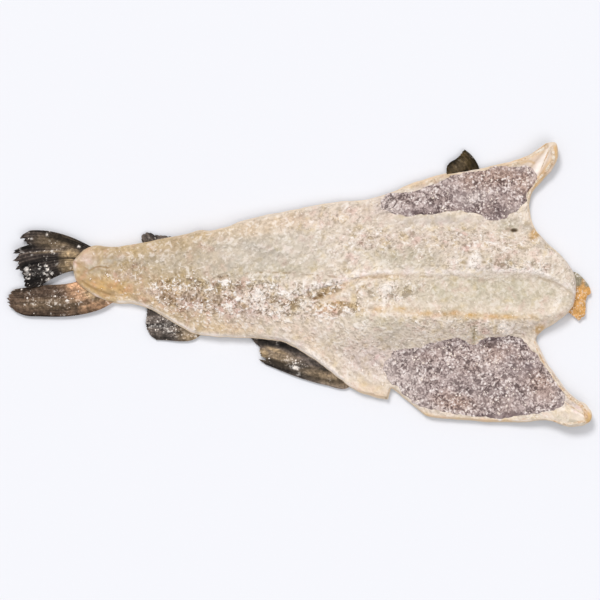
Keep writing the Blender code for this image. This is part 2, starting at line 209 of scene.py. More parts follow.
# Patches of yellow-brown stain that are also sunk as clefts; their brown is partly painted shade in the
# clefts.
BROWN_STAINS_AND_SHADE = (
    (-22.0, -2.2, 2.4, 0.6, -16, 0.8), (-15.5, -3.2, 3.2, 0.6, -8, 0.9),
    (-23.0, -1.2, 1.0, 0.5, -20, 0.7), (-11.0, -2.2, 2.0, 0.5, -10, 0.5),
    (-1.0, -3.1, 1.8, 0.6, 8, 0.9), (3.6, -2.0, 2.0, 0.6, 20, 1.0), (6.4, -0.9, 1.2, 0.5, 35, 0.8),
    (13.6, 1.1, 3.6, 0.25, 4, 0.6), (-13.1, 1.2, 0.9, 0.3, 10, 1.0), (10.6, -0.9, 1.6, 0.5, 30, 0.7),
    (40.8, 8.0, 0.4, 1.2, -42, 0.5), (-34.6, 1.6, 6.0, 3.8, 0, 0.55), (-31.1, 0.2, 0.5, 0.35, 0, 0.9),
    (-29.9, -1.2, 0.8, 0.4, 0, 0.8), (-26.9, 2.7, 2.0, 0.3, -5, 0.5), (-32.4, 6.0, 3.0, 0.3, 4, 0.6),
    (-36.8, 4.0, 0.9, 0.4, 50, 0.6), (-35.3, 2.6, 1.4, 0.2, 20, 0.6), (22.5, 1.1, 2.2, 0.2, 0, 0.4),
    (-18.0, 0.2, 2.0, 0.5, -10, 0.5), (-36.6, 0.9, 1.6, 0.3, -50, 0.5),
    (-33.4, -0.9, 3.4, 1.1, -14, 0.6), (-28.0, 1.5, 3.0, 0.4, -6, 0.5),
)
GREY_TINTS = (
    (-7.0, 4.8, 11.0, 3.4, 8, 1.0), (12.0, 7.0, 9.0, 2.6, 6, 0.3), (-22.0, 3.6, 7.0, 1.8, 6, 0.6),
    (-34.0, 3.4, 4.0, 0.8, 4, 0.5), (-31.6, 4.4, 2.2, 1.2, 0, 0.8), (24.0, 11.0, 7.0, 0.8, 2, 0.9),
    (16.0, -9.5, 4.0, 2.4, 0, 0.6), (20.0, 4.4, 6.0, 1.8, 4, 0.5), (36.0, 10.6, 3.0, 1.0, -10, 0.8),
)
GREEN_TINTS = (
    (18.0, 4.6, 5.5, 2.0, 2, 0.8), (33.0, -1.2, 14.0, 2.6, -1, 1.0), (-2.0, 2.6, 7.0, 1.4, 6, 0.5),
    (29.9, -8.8, 0.4, 2.0, 0, 1.0), (-35.0, 1.8, 4.0, 1.4, -8, 0.6), (32.0, 4.6, 5.0, 0.6, -8, 0.6),
    (13.0, -6.4, 5.0, 1.0, -4, 0.5), (28.0, -4.7, 11.0, 0.9, -3, 0.6), (35.8, 9.6, 1.8, 0.8, 10, 0.8),
    (15.0, -19.8, 0.9, 0.7, 0, 0.9),
)
# Pale dried rims, partly painted highlight that lifts the shade on the rounded rims.
PALE_TINTS_AND_HIGHLIGHTS = (
    (4.4, -13.6, 6.0, 0.45, -41, 0.9), (-1.2, -9.9, 3.2, 0.35, -14, 0.7),
    (-24.0, -5.2, 6.0, 0.5, -26, 0.9), (-14.0, -8.9, 4.0, 0.45, -4, 0.8), (8.5, 5.2, 6.5, 2.0, 4, 0.12),
    (-38.2, 3.2, 0.4, 3.2, 0, 0.5), (-34.8, -1.9, 3.0, 0.3, -32, 0.7),
)
LILAC_TINTS = (
    (13.0, -13.3, 4.6, 2.6, -10, 0.75), (14.2, 13.4, 1.8, 1.6, 0, 0.7), (24.0, 10.8, 8.0, 0.6, 2, 0.4),
    (46.0, -20.2, 2.6, 0.6, -36, 0.7), (43.8, -14.6, 5.5, 0.8, -62, 0.8),
    (34.0, -8.2, 2.0, 0.6, 0, 0.5), (29.8, 3.8, 0.9, 1.5, -20, 0.8), (47.2, -2.4, 0.5, 2.2, 0, 0.7),
    (40.3, 18.6, 1.2, 0.8, 50, 0.6), (30.0, 20.0, 4.0, 0.4, 10, 0.4), (22.0, -21.4, 2.6, 0.5, -14, 0.4),
)
BARE_PATCHES = (
    (41.6, 20.6, 3.6, 2.4, 50, 0.9), (47.6, -22.4, 3.4, 1.6, -10, 0.6),
    (12.8, -18.4, 3.6, 1.5, -20, 0.5), (-33.6, -0.8, 4.6, 1.8, -12, 0.2),
    (-35.8, 2.2, 4.4, 4.6, 0, 0.6), (30.0, 20.0, 8.0, 0.8, 12, 0.5), (24.0, 11.0, 7.0, 0.8, 2, 0.5),
)
# Narrow folds and stains: points, half width, height in metres, the mask they add to, strength. A brown
# mark on a sunk fold is partly painted shade in it; a pale mark on a raised fold or rim is partly painted
# highlight.
STREAKS = (
    (((40.2, 18.7), (41.5, 20.9), (42.7, 22.8)), 0.44, 0.0009, "pale", 1.0),
    (((39.4, 19.6), (41.1, 21.7), (42.3, 23.1)), 0.16, -0.0006, "brown", 0.30),
    (((41.2, 18.6), (42.3, 20.7), (43.2, 22.9)), 0.16, -0.0007, "brown", 0.35),
    (((34.5, 20.9), (38.5, 21.9), (42.2, 23.9)), 0.30, 0.0005, "amber", 1.0),
    (((36.0, 21.6), (39.8, 22.4), (42.2, 24.0)), 0.10, -0.0002, "brown", 0.4),
    (((41.0, 17.8), (42.6, 20.0), (43.7, 21.6), (43.8, 23.2)), 0.45, 0.0004, "amber", 1.0),
    (((42.1, 23.9), (42.3, 23.3)), 0.35, 0.0, "brown", 0.4),
    (((17.4, -19.9), (21.0, -22.1), (29.0, -23.2), (36.0, -23.4)), 0.35, 0.0, "amber", 0.7),
    (((33.8, -21.9), (34.3, -23.3)), 0.20, 0.0006, "pale", 1.0),
    (((38.0, 20.6), (39.3, 21.0), (40.2, 20.7)), 0.20, -0.0004, "amber", 0.70),
    (((43.2, -15.2), (45.0, -17.9), (47.8, -20.5)), 0.14, 0.0002, "brown", 0.45),
    (((45.0, -21.2), (47.0, -21.7), (48.8, -22.7)), 0.20, -0.0006, "pale", 0.60),
    (((44.0, -22.6), (46.6, -23.4), (48.6, -23.8)), 0.25, -0.0003, "green", 0.60),
    (((39.8, 11.6), (39.8, 14.0), (40.2, 16.0)), 0.17, 0.0003, "brown", 0.7),
    (((41.0, 1.7), (44.4, 0.6), (47.2, -1.3)), 0.18, 0.0009, "pale", 0.80),
    (((40.8, 1.0), (44.2, -0.1), (46.8, -1.9)), 0.14, -0.0005, "brown", 0.35),
    (((-33.8, -2.3), (-35.8, -1.3), (-37.6, 0.6), (-38.3, 2.6)), 0.20, -0.0004, "amber", 0.60),
    (((8.0, -16.9), (3.0, -13.0), (-0.4, -10.9), (-5.0, -9.5)), 0.36, 0.0008, "pale", 1.0),
    (((-37.4, 0.0), (-36.3, -1.1), (-35.0, -2.1)), 0.22, -0.0005, "brown", 0.7),
    (((-30.5, -3.1), (-27.0, -3.6), (-22.0, -6.1), (-18.0, -8.2)), 0.40, 0.0006, "pale", 1.0),
    (((-38.2, 3.8), (-37.0, 3.2), (-35.6, 2.1)), 0.16, -0.0006, "brown", 0.7),
    (((-35.6, 2.3), (-34.4, 2.9), (-32.2, 2.7)), 0.15, -0.0006, "brown", 0.9),
    (((-36.8, 0.5), (-34.8, -0.8), (-32.0, -1.8)), 0.22, -0.0006, "brown", 1.0),
    (((-36.2, 0.6), (-33.6, -0.5), (-31.0, -0.7)), 0.20, -0.0005, "amber", 1.0),
    (((-34.6, -0.6), (-32.8, -1.6), (-30.2, -2.0)), 0.13, -0.0004, "brown", 0.6),
)
TAN_FROM, TAN_TO = -2.0, -24.0  # the flesh gets tanner from here towards the tail

# Hollows in the flesh: a patch, then how deep it is in metres. The deep ones get painted shade inside,
# darker the deeper they are.
DEEP_HOLLOWS = (
    ((29.9, -8.7, 0.22, 1.9, 0, 1.0), 0.0010), ((36.8, 9.2, 0.50, 0.30, 0, 1.0), 0.0024),
    ((-33.2, 2.9, 1.0, 0.14, -6, 1.0), 0.0012),
)
SHALLOW_HOLLOWS = (
    ((-33.0, 1.4, 4.0, 0.35, -8, 1.0), 0.0007), ((31.0, 9.0, 6.0, 0.5, -6, 1.0), 0.0005),
    ((8.0, 10.2, 14.0, 0.4, 7, 1.0), 0.0006),
)
# Patches of painted shade inside small holes of the flesh.
HOLE_SHADE_PATCHES = (
    (36.8, 9.2, 0.60, 0.32, 0, 1.0), (-13.3, 1.2, 0.45, 0.16, 10, 0.6), (38.9, 13.0, 0.5, 0.16, 60, 0.4),
    (40.6, -9.3, 0.3, 0.2, 40, 0.5),
)
JOINT_SPACING = 1.25  # between the marks that the joints of the backbone left in the trough
RIB_RIDGES = (30.6, 31.9, 33.2, 34.8, 36.4)  # where the ribs' ridges cross y = RIB_MIDDLE
RIB_MIDDLE = -7.6

# Where the dried skin shows as a lip past the flesh: x, y, reach along the edge, width of the lip.
SKIN_LIPS = (
    (13.4, -19.6, 3.0, 0.0026), (22.4, 18.4, 6.0, 0.0012), (40.0, 13.6, 3.0, 0.0016),
    (-29.5, -3.3, 4.5, 0.0006), (-21.5, -6.7, 4.0, 0.0008), (-2.5, -10.1, 4.0, 0.0006),
    (30.0, -23.3, 9.0, 0.0010),
)

# The torn linings of the belly, one on each flap.
UPPER_LINING = (
    (13.9, 14.2), (14.8, 15.5), (17.1, 15.7), (20.3, 16.2), (23.1, 17.4), (26.7, 18.9),
    (30.2, 19.5), (33.8, 20.2), (37.3, 20.4), (40.2, 20.0), (40.9, 18.1), (40.2, 16.5),
    (39.2, 15.4), (39.0, 13.8), (37.3, 12.4), (35.5, 11.2), (33.0, 10.8), (30.9, 11.9),
    (28.0, 12.4), (25.2, 12.2), (21.3, 11.7), (18.5, 11.4), (15.7, 12.0), (14.2, 13.0),
)
LOWER_LINING = (
    (16.1, -11.2), (19.9, -10.7), (23.5, -9.7), (25.8, -9.2), (28.1, -9.3), (29.6, -9.9),
    (30.4, -9.9), (31.1, -9.3), (32.6, -8.9), (35.7, -8.7), (37.6, -9.0), (38.9, -10.1),
    (40.6, -11.8), (42.0, -13.6), (43.8, -16.3), (45.3, -18.8), (45.3, -20.3), (44.3, -21.2),
    (41.7, -22.0), (38.3, -22.5), (34.9, -23.0), (31.9, -23.0), (28.8, -22.8), (25.0, -21.9),
    (22.0, -21.4), (19.9, -20.7), (17.9, -18.9), (16.9, -17.9), (15.6, -16.9), (14.8, -15.6),
    (14.4, -14.2), (15.0, -12.6),
)

# Each fin's four sides, from its root to its ragged tips: trailing edge, leading edge, root, tips.
UPPER_TAIL_LOBE = (
    ((-36.6, 2.6), (-39.6, 2.0), (-42.3, 0.8), (-44.4, -0.5)),
    ((-34.6, 6.0), (-36.1, 6.8), (-39.5, 8.3), (-43.7, 9.2), (-46.2, 9.1), (-47.4, 8.6)),
    ((-36.6, 2.6), (-34.6, 6.0)),
    ((-44.4, -0.5), (-46.6, -0.6), (-47.6, 1.2), (-48.4, 2.8), (-48.8, 4.4), (-48.6, 6.0), (-48.2, 7.6),
     (-47.4, 8.6)),
)
LOWER_TAIL_LOBE = (
    ((-30.6, -2.4), (-33.6, -4.2), (-37.2, -5.2), (-44.0, -5.5), (-46.8, -5.3), (-48.5, -4.6)),
    ((-35.6, 1.2), (-38.9, 0.2), (-44.0, -0.2), (-49.0, -0.9)),
    ((-30.6, -2.4), (-35.6, 1.2)),
    ((-48.5, -4.6), (-49.6, -3.4), (-49.8, -2.2), (-49.0, -0.9)),
)
THIRD_DORSAL_FIN = (
    ((-25.4, 5.6), (-26.9, 7.0)),
    ((-20.0, 6.6), (-21.4, 8.35)),
    ((-25.4, 5.6), (-20.0, 6.6)),
    ((-26.9, 7.0), (-26.9, 8.2), (-25.8, 8.95), (-24.4, 8.7), (-21.4, 8.35)),
)
SECOND_ANAL_FIN = (
    ((-14.6, -6.2), (-17.4, -9.2), (-24.3, -9.5)),
    ((-20.0, -3.4), (-26.0, -4.1)),
    ((-14.6, -6.2), (-20.0, -3.4)),
    ((-24.3, -9.5), (-25.7, -8.4), (-26.1, -6.8), (-26.0, -5.4), (-26.0, -4.1)),
)
FIRST_ANAL_FIN = (
    ((9.8, -16.4), (8.4, -17.7), (4.6, -17.2), (0.6, -16.1), (-5.6, -13.7)),
    ((-0.2, -7.0), (-8.1, -9.2)),
    ((9.8, -16.4), (-0.2, -7.0)),
    ((-5.6, -13.7), (-7.1, -12.4), (-7.3, -10.9), (-8.1, -9.2)),
)
PECTORAL_FIN = (
    ((31.2, 17.2), (30.8, 20.2), (29.6, 22.1), (28.3, 23.2)),
    ((26.0, 16.4), (25.2, 19.4)),
    ((31.2, 17.2), (26.0, 16.4)),
    ((28.3, 23.2), (27.9, 22.5), (27.0, 21.6), (25.8, 20.95), (25.3, 20.4), (25.2, 19.4)),
)
NAPE_SKIN = (
    ((43.8, -3.4), (46.4, -5.0), (48.0, -6.3)),
    ((44.6, 1.4), (47.0, 2.1), (49.9, -0.4)),
    ((43.8, -3.4), (44.6, 1.4)),
    ((48.0, -6.3), (49.2, -5.0), (49.5, -3.1), (50.0, -1.6), (49.9, -0.4)),
)


# ---------------------------------------------------------------- arithmetic

# Every random pattern has a fixed seed, so that the fish comes out the same each time.


def smoothstep(low, high, value):
    """0 below the low value, 1 above the high one, and smooth between them."""
    share = np.clip((value - low) / (high - low), 0, 1)
    return share * share * (3 - 2 * share)


def between(value, rise, fall):
    """0, then 1 past the rise, then 0 again past the fall; each is given by its two ends."""
    return smoothstep(*rise, value) * (1 - smoothstep(*fall, value))


def bell(offset, width):
    """1 where the offset is zero, falling to 0 on both sides."""
    return np.exp(-((offset / width) ** 2))


def smooth_line(points, samples_per_span=16):
    """A smooth line through the points, as closely spaced points."""
    knots = np.array(points, float)
    if len(knots) == 2:
        return knots
    chord = np.linalg.norm(np.diff(knots, axis=0), axis=1)
    at_knot = np.concatenate([[0], np.cumsum(chord)])
    slope = np.gradient(knots, at_knot, axis=0)
    at = np.linspace(0, at_knot[-1], samples_per_span * (len(knots) - 1) + 1)
    span = np.clip(np.searchsorted(at_knot, at, side="right") - 1, 0, len(knots) - 2)
    width = (at_knot[span + 1] - at_knot[span])[:, None]
    share = (at - at_knot[span])[:, None] / width
    rest = 1 - share
    return (
        (1 + 2 * share) * rest**2 * knots[span]
        + share * rest**2 * width * slope[span]
        + share**2 * (3 - 2 * share) * knots[span + 1]
        - share**2 * rest * width * slope[span + 1]
    )


def points_along(fine, shares):
    """Points at the given shares of a finely divided line's length."""
    length = np.concatenate([[0], np.cumsum(np.linalg.norm(np.diff(fine, axis=0), axis=1))])
    at = shares * length[-1]
    return np.stack([np.interp(at, length, fine[:, axis]) for axis in (0, 1)], axis=-1)


def even_loop(fine, spacing):
    """A closed line's points, evenly spaced in hundredths."""
    closed = np.concatenate([fine, fine[:1]])
    around = np.linalg.norm(np.diff(closed, axis=0), axis=1).sum()
    count = int(around / spacing)
    return points_along(closed, np.arange(count) / count)


def station(stations, x):
    """The value at x of a quantity that is given at stations along the body."""
    fine = smooth_line(stations)
    return np.interp(x, fine[:, 0], fine[:, 1])


def scattered(column, row, seed):
    """A random value from -1 to 1 for each cell of a lattice."""
    mixed = column * 73856093 ^ row * 19349663 ^ (seed * 83492791)
    mixed = ((mixed ^ (mixed >> 13)) * 1274126177) & 0xFFFFFFFF
    return ((mixed ^ (mixed >> 16)) & 0xFFFF) / 32767.5 - 1


def cell_of(x, y, size):
    """The column and row of the lattice cell that each point is in."""
    return np.floor(x / size).astype(np.int64), np.floor(y / size).astype(np.int64)


def noise(x, y, size, seed):
    """Smooth random values from -1 to 1, with lumps about that size."""
    column, row = cell_of(x, y, size)
    across, up = smoothstep(0, 1, x / size - column), smoothstep(0, 1, y / size - row)
    low = scattered(column, row, seed) * (1 - across) + scattered(column + 1, row, seed) * across
    high = scattered(column, row + 1, seed) * (1 - across) + scattered(column + 1, row + 1, seed) * across
    return low * (1 - up) + high * up


def layered_noise(x, y, size, seed, layers=3):
    """Noise with finer layers on it, each half as large and strong as the one before."""
    total = sum(noise(x, y, size / 2**layer, seed + layer) / 2**layer for layer in range(layers))
    return total / (2 - 2 ** (1 - layers))


def pebbles(x, y, size, seed):
    """Rounded lumps of random height from 0 to 1, closely packed, about that size."""
    column, row = cell_of(x, y, size)
    nearest, height = np.full(x.shape, 9.0), np.zeros(x.shape)
    for cell in ((column + i, row + j) for i in (-1, 0, 1) for j in (-1, 0, 1)):
        middle_x = (cell[0] + 0.5 + 0.42 * scattered(*cell, seed)) * size
        middle_y = (cell[1] + 0.5 + 0.42 * scattered(*cell, seed + 1)) * size
        away = np.hypot(x - middle_x, y - middle_y) / size
        closer = away < nearest
        nearest = np.where(closer, away, nearest)
        height = np.where(closer, scattered(*cell, seed + 2) / 2 + 0.5, height)
    return height * (1 - np.clip(nearest / 0.75, 0, 1) ** 2)


def patches(x, y, spots, fade=0.5):
    """How strongly soft oval patches cover each plan point, from 0 to 1."""
    cover = np.zeros_like(x)
    for middle_x, middle_y, length, width, turn, strength in spots:
        angle = np.radians(turn)
        along = (x - middle_x) * np.cos(angle) + (y - middle_y) * np.sin(angle)
        beside = (y - middle_y) * np.cos(angle) - (x - middle_x) * np.sin(angle)
        reach = np.sqrt((along / length) ** 2 + (beside / width) ** 2)
        cover = np.maximum(cover, strength * (1 - smoothstep(1 - fade, 1 + fade, reach)))
    return cover


def near_path(x, y, path, width):
    """1 on a short open path, falling to 0 beside it."""
    points = smooth_line(path, 4)
    nearest = np.full(x.shape, np.inf)
    for (from_x, from_y), (to_x, to_y) in zip(points, points[1:]):
        run_x, run_y = to_x - from_x, to_y - from_y
        share = ((x - from_x) * run_x + (y - from_y) * run_y) / (run_x**2 + run_y**2)
        share = np.clip(share, 0, 1)
        nearest = np.minimum(nearest, np.hypot(x - from_x - share * run_x, y - from_y - share * run_y))
    return bell(nearest, width)


def near_line(x, y, line, width):
    """1 on a line that runs along the body, falling to 0 beside it and past its ends."""
    first, last = line[0][0], line[-1][0]
    ends = between(x, (first - 1, first + 1), (last - 1, last + 1))
    return bell(y - station(line, x), width) * ends


# ---------------------------------------------------------------- the body's form

def body_outline():
    """The body's outline with the notch torn in it, as closely spaced points."""
    lower = smooth_line(LOWER_EDGE)
    (inner_x, inner_y), (left_x, left_y), (right_x, right_y) = NOTCH
    left_wall = inner_x + (lower[:, 1] - inner_y) * (left_x - inner_x) / (left_y - inner_y)
    right_wall = inner_y + (lower[:, 0] - inner_x) * (right_y - inner_y) / (right_x - inner_x)
    lower = lower[(lower[:, 0] < left_wall) | (lower[:, 1] > right_wall)]
    before = lower[:, 0] < inner_x
    lower = np.concatenate([lower[before], [NOTCH[0]], lower[~before]])
    others = (HEAD_END, UPPER_EDGE[::-1], TAIL_END[::-1])
    return np.concatenate([lower[:-1]] + [smooth_line(side)[:-1] for side in others])


def tree_of(points):
    tree = KDTree(len(points))
    for index, point in enumerate(points):
        tree.insert((point[0], point[1], 0), index)
    tree.balance()
    return tree


def distance_to(tree, x, y):
    """Metres from each plan point to the nearest point of the tree."""
    found = [tree.find((a, b, 0))[2] for a, b in zip(x.ravel(), y.ravel())]
    return np.array(found).reshape(x.shape) * HUNDREDTH


def ragged(loop, inset, wobble, size, seed):
    """A closed line, running anticlockwise, drawn in by the inset in metres and a random wobble."""
    tangent = np.roll(loop, -1, axis=0) - np.roll(loop, 1, axis=0)
    tangent = tangent / np.linalg.norm(tangent, axis=1)[:, None]
    inward = np.column_stack([-tangent[:, 1], tangent[:, 0]])
    drawn_in = inset + wobble * (1 + layered_noise(loop[:, 0], loop[:, 1], size, seed)) / 2
    return loop + inward * (drawn_in / HUNDREDTH)[:, None]


DRIED_OUTLINE = ragged(even_loop(body_outline(), OUTLINE_SPACING), *DRIED_IN, 1.5, 51)
EDGE_TREE = tree_of(DRIED_OUTLINE)


def from_edge(x, y):
    """Metres from each plan point to the body's edge."""
    return distance_to(EDGE_TREE, x, y)


def underside_height(x, y, to_edge):
    edge = EDGE_LIFT * (1 - smoothstep(0, EDGE_LIFT_REACH, to_edge)) * smoothstep(-36, -20, x)
    collar = COLLAR_LIFT * smoothstep(33, 48, x) * smoothstep(12, 24, np.abs(y))
    tail = TAIL_LIFT * (1 - smoothstep(-39, -31, x))
    return edge + collar + tail


def from_back(x, y):
    """How far each point is from the back, and how wide the loin is on its side of it."""
    offset = y - station(BACK_LINE, x)
    return np.abs(offset), np.where(offset > 0, station(UPPER_LOIN_WIDTH, x), station(LOWER_LOIN_WIDTH, x))


def body_thickness(x, y, to_edge):
    away, loin_width = from_back(x, y)
    loin = 1 - smoothstep(0.45, 1.05, away / loin_width)
    flap = station(FLAP_THICKNESS, x)
    thickness = flap + (station(LOIN_THICKNESS, x) - flap) * loin
    upper_bank, lower_bank = station(UPPER_BANK, x), station(LOWER_BANK, x)
    half_gap = (upper_bank - lower_bank) / 2
    from_middle = np.abs(y - (upper_bank + lower_bank) / 2) / half_gap
    thickness = thickness - station(TROUGH_DEPTH, x) * (1 - smoothstep(0.5, 1.25, from_middle))
    inward = np.clip(to_edge / RIM_REACH, 0, 1)
    rounded = RIM_THICKNESS + (thickness - RIM_THICKNESS) * np.sqrt(1 - (1 - inward) ** 2)
    at_rim = np.clip(to_edge / THIN_RIM_REACH, 0, 1)
    return rounded - (RIM_THICKNESS - THIN_RIM) * (1 - np.sqrt(1 - (1 - at_rim) ** 2))


def salt_crust(x, y):
    """How thickly salt is caked on the flesh, from 0 to 1."""
    patchy = 0.8 + 0.45 * layered_noise(x, y, 2.2, 11)
    everywhere = 0.34 - 0.16 * patches(x, y, GREY_TINTS, 0.8)
    return np.clip(everywhere * patchy + patches(x, y, SALT_CRUST, 0.6) * patchy, 0, 1)


def strand_frame(x, y):
    """Places along and beside the muscles' strands, which turn outwards on both sides of the back."""
    away, _ = from_back(x, y)
    turn = np.radians(STRAND_TURN)
    return x * np.cos(turn) + away * np.sin(turn), away * np.cos(turn) - x * np.sin(turn)


def muscle_strands(x, y):
    """Fine strands, about zero, with broader folds between them."""
    along, beside = strand_frame(x, y)
    strands = noise(along / 3.2, beside, 0.42, 21) + 0.5 * noise(along / 3, beside, 0.24, 22)
    folds = noise(along / 7, beside, 1.1, 23)
    return 0.7 * strands + 0.4 * folds


def in_trough(x, y):
    """1 in the smooth middle of the trough that the backbone was pulled from."""
    ends = between(x, (8, 20), (46, 48))
    above_lower = smoothstep(-0.4, 0.6, y - station(LOWER_BANK, x))
    return ends * above_lower * smoothstep(-0.2, 0.8, station(UPPER_BANK, x) - y)


def backbone_marks(x, y):
    """Where each joint of the backbone and each rib was pulled from the flesh, from -1 to 1."""
    bed = between(x, (16, 24), (44, 47)) * smoothstep(-5.4, -4.0, y)
    bed = bed * (1 - smoothstep(0.2, 1.2, y - station(CUT_LIP, x) + 1.4))
    joints = np.cos(2 * np.pi * (x + 0.12 * (y + 1) ** 2) / JOINT_SPACING)
    joints = joints * (0.5 + 0.5 * noise(x, y, 2.0, 38))
    joints = joints * (0.35 + 0.65 * smoothstep(36, 40, x))
    beside_bed = between(y, (-10.0, -8.6), (-6.6, -5.4))
    ribs = sum(bell(x - at - 0.05 * (y - RIB_MIDDLE) ** 2, 0.2) for at in RIB_RIDGES)
    return 0.4 * bed * joints + 1.5 * beside_bed * ribs


def crevices(x, y):
    """Broken clefts under the cut and along the seam, from 0 to 1; in colour they give a yellow-brown stain
    with painted shade in them.
    """
    broken = 0.45 + 0.8 * noise(x, y, 0.5, 32)
    seam = near_line(x, y, SEAM, 0.16) * np.clip(1.5 * noise(x, y, 0.36, 37), 0, 0.7)
    return np.clip(patches(x, y, BROWN_STAINS_AND_SHADE) * broken + seam, 0, 1)


def flesh_relief(x, y, to_edge):
    """What the knife, the drying and the salt did to the flat of the flesh, in metres."""
    crust = salt_crust(x, y)
    from_lip = y - station(CUT_LIP, x)
    worn = smoothstep(12, 20, x)
    on_lip = between(x, (-2.5, 1.0), (45.5, 47.5)) * (0.8 + 0.3 * noise(x, y, 1.2, 31))
    lip = bell(from_lip, np.where(from_lip > 0, 0.9, 0.2 + 0.3 * worn))
    under_lip = bell(from_lip + 0.5, 0.3) * (1 - 0.8 * worn)
    grains = CAKED_GRAINS * pebbles(x, y, 0.46, 34) + FINE_CAKED_GRAINS * pebbles(x, y, 0.26, 44)
    relief = sum((
        SLOW_WAVES * layered_noise(x, y, 7.0, 33),
        STRAND_RELIEF * (1.2 - crust) * muscle_strands(x, y),
        (0.2 + 0.8 * crust) * grains,
        crust * CRUST_WAVES * layered_noise(x, y, 1.3, 39),
        CLUMP_HEIGHT * patches(x, y, SALT_CLUMPS) * (0.3 + pebbles(x, y, 0.5, 36)),
        on_lip * (LIP_HEIGHT * lip - LIP_UNDERCUT * under_lip),
        -CLEFT_DEPTH * crevices(x, y),
        BONE_MARKS * backbone_marks(x, y),
        -sum(depth * patches(x, y, (spot,)) for spot, depth in DEEP_HOLLOWS + SHALLOW_HOLLOWS),
        sum(rise * near_path(x, y, path, width) for path, width, rise, _, _ in STREAKS),
    ))
    relief = relief * smoothstep(0.001, 0.006, to_edge)
    rolled_rim = bell(to_edge - ROLLED_RIM_PLACE, ROLLED_RIM_WIDTH)
    return relief + ROLLED_RIM * rolled_rim * (0.25 + patches(x, y, PALE_TINTS_AND_HIGHLIGHTS, 0.9))


def flesh_top(x, y):
    to_edge = from_edge(x, y)
    height = underside_height(x, y, to_edge) + body_thickness(x, y, to_edge)
    height = height - TOP_ROOM * smoothstep(0.003, 0.010, to_edge) + flesh_relief(x, y, to_edge)
    return np.minimum(height, CAD_HIGH.z - CLEAR_OF_TOP)


# ---------------------------------------------------------------- meshes

SHARP_EDGE = 75  # degrees between two faces, past which their edge stays sharp
LOOKS_UP = 0.45  # how much of a face's direction is upwards where salt can lie on it
CLEAR_OF_EDGE = 0.55  # how near an inner point may be to the outline, as a share of the spacing


def new_object(name, data):
    """An object in the scene that shows a mesh, a lamp or a camera."""
    made = bpy.data.objects.new(name, data)
    bpy.context.scene.collection.objects.link(made)
    return made


def read(items, field, columns=1):
    """A field of a mesh's points, corners or faces, as an array with that many columns."""
    whole = field in ("vertices", "vertex_index", "polygon_index")
    values = np.empty(len(items) * columns, np.int32 if whole else np.float64)
    items.foreach_get(field, values)
    return values.reshape(-1, columns)


def add_masks(mesh, masks):
    for label, values in masks.items():
        mesh.attributes.new(label, "FLOAT", "POINT").data.foreach_set("value", values.astype(np.float32))


def make_piece(name, points, faces, material, masks=None, smooth=True):
    """A mesh object from arrays, with a point attribute for each mask."""
    mesh = bpy.data.meshes.new(name)
    mesh.from_pydata(points.tolist(), [], faces.tolist())
    add_masks(mesh, masks or {})
    if smooth:
        mesh.shade_smooth()
        mesh.set_sharp_from_angle(angle=np.radians(SHARP_EDGE))
    mesh.materials.append(material)
    return new_object(name, mesh)


def plan_mesh(loop, spacing):
    """Triangles that fill a closed outline: its points first, then a lattice inside, in plan."""
    low, high = loop.min(axis=0), loop.max(axis=0)
    columns = np.arange(low[0], high[0], spacing)
    rows = np.arange(low[1], high[1], spacing * np.sqrt(3) / 2)
    x, y = np.meshgrid(columns, rows)
    x = x + (np.arange(len(rows)) % 2)[:, None] * spacing / 2
    lattice = np.stack([x.ravel(), y.ravel()], axis=-1)
    gap = distance_to(tree_of(loop), lattice[:, 0], lattice[:, 1]) / HUNDREDTH
    points = np.concatenate([loop, lattice[gap > CLEAR_OF_EDGE * spacing]])
    outer = [list(range(len(loop)))]
    made = delaunay_2d_cdt([Vector(point) for point in points], [], outer, 1, 1e-7)
    plan, faces = np.array([tuple(point) for point in made[0]]), np.array(made[2])
    used = np.zeros(len(plan), bool)
    used[faces] = True
    used[: len(loop)] = True
    renumbered = np.cumsum(used) - 1
    return plan[used], renumbered[faces]


def closed_slab(name, loop, spacings, heights, material, masks):
    """A closed piece over one outline; spacings and heights are given for its top and underside."""
    (top_plan, top_faces), (under_plan, under_faces) = (plan_mesh(loop, spacing) for spacing in spacings)
    plan = np.concatenate([top_plan, under_plan])
    top_height, under_height = heights
    points = np.column_stack([
        plan * HUNDREDTH, np.concatenate([top_height(*top_plan.T), under_height(*under_plan.T)]),
    ])
    count = len(top_plan)
    first = np.arange(len(loop))
    following = np.roll(first, -1)
    wall = np.concatenate([
        np.column_stack([first, first + count, following + count]),
        np.column_stack([first, following + count, following]),
    ])
    faces = np.concatenate([top_faces, under_faces[:, ::-1] + count, wall])
    on_top = np.arange(len(plan)) < count
    return make_piece(name, points, faces, material, masks(plan[:, 0], plan[:, 1], on_top))


def sheet(name, plan, middle, half, masks, material):
    """A closed thin piece over a grid of plan points, this far above and below its middle height."""
    rows, columns = middle.shape
    count = rows * columns
    layers = [np.dstack([plan * HUNDREDTH, middle + side * half]).reshape(-1, 3) for side in (1, -1)]
    index = np.arange(count).reshape(rows, columns)
    quads = np.stack([index[:-1, :-1], index[1:, :-1], index[1:, 1:], index[:-1, 1:]], axis=-1)
    quads = quads.reshape(-1, 4)
    rim = np.concatenate([index[0, :], index[1:, -1], index[-1, -2::-1], index[-2:0:-1, 0]])
    after = np.roll(rim, -1)
    wall = np.column_stack([rim, after, after + count, rim + count])
    faces = np.concatenate([quads, quads[:, ::-1] + count, wall])
    masks = {label: np.tile(values.ravel(), 2) for label, values in masks.items()}
    made = make_piece(name, np.concatenate(layers), faces, material, masks)
    turn_outwards(made.data)
    return made


def turn_outwards(mesh):
    """Turns a closed mesh's faces out if they point in."""
    mesh.calc_loop_triangles()
    triangles = read(mesh.vertices, "co", 3)[read(mesh.loop_triangles, "vertices", 3)]
    if np.linalg.det(triangles).sum() < 0:
        mesh.flip_normals()


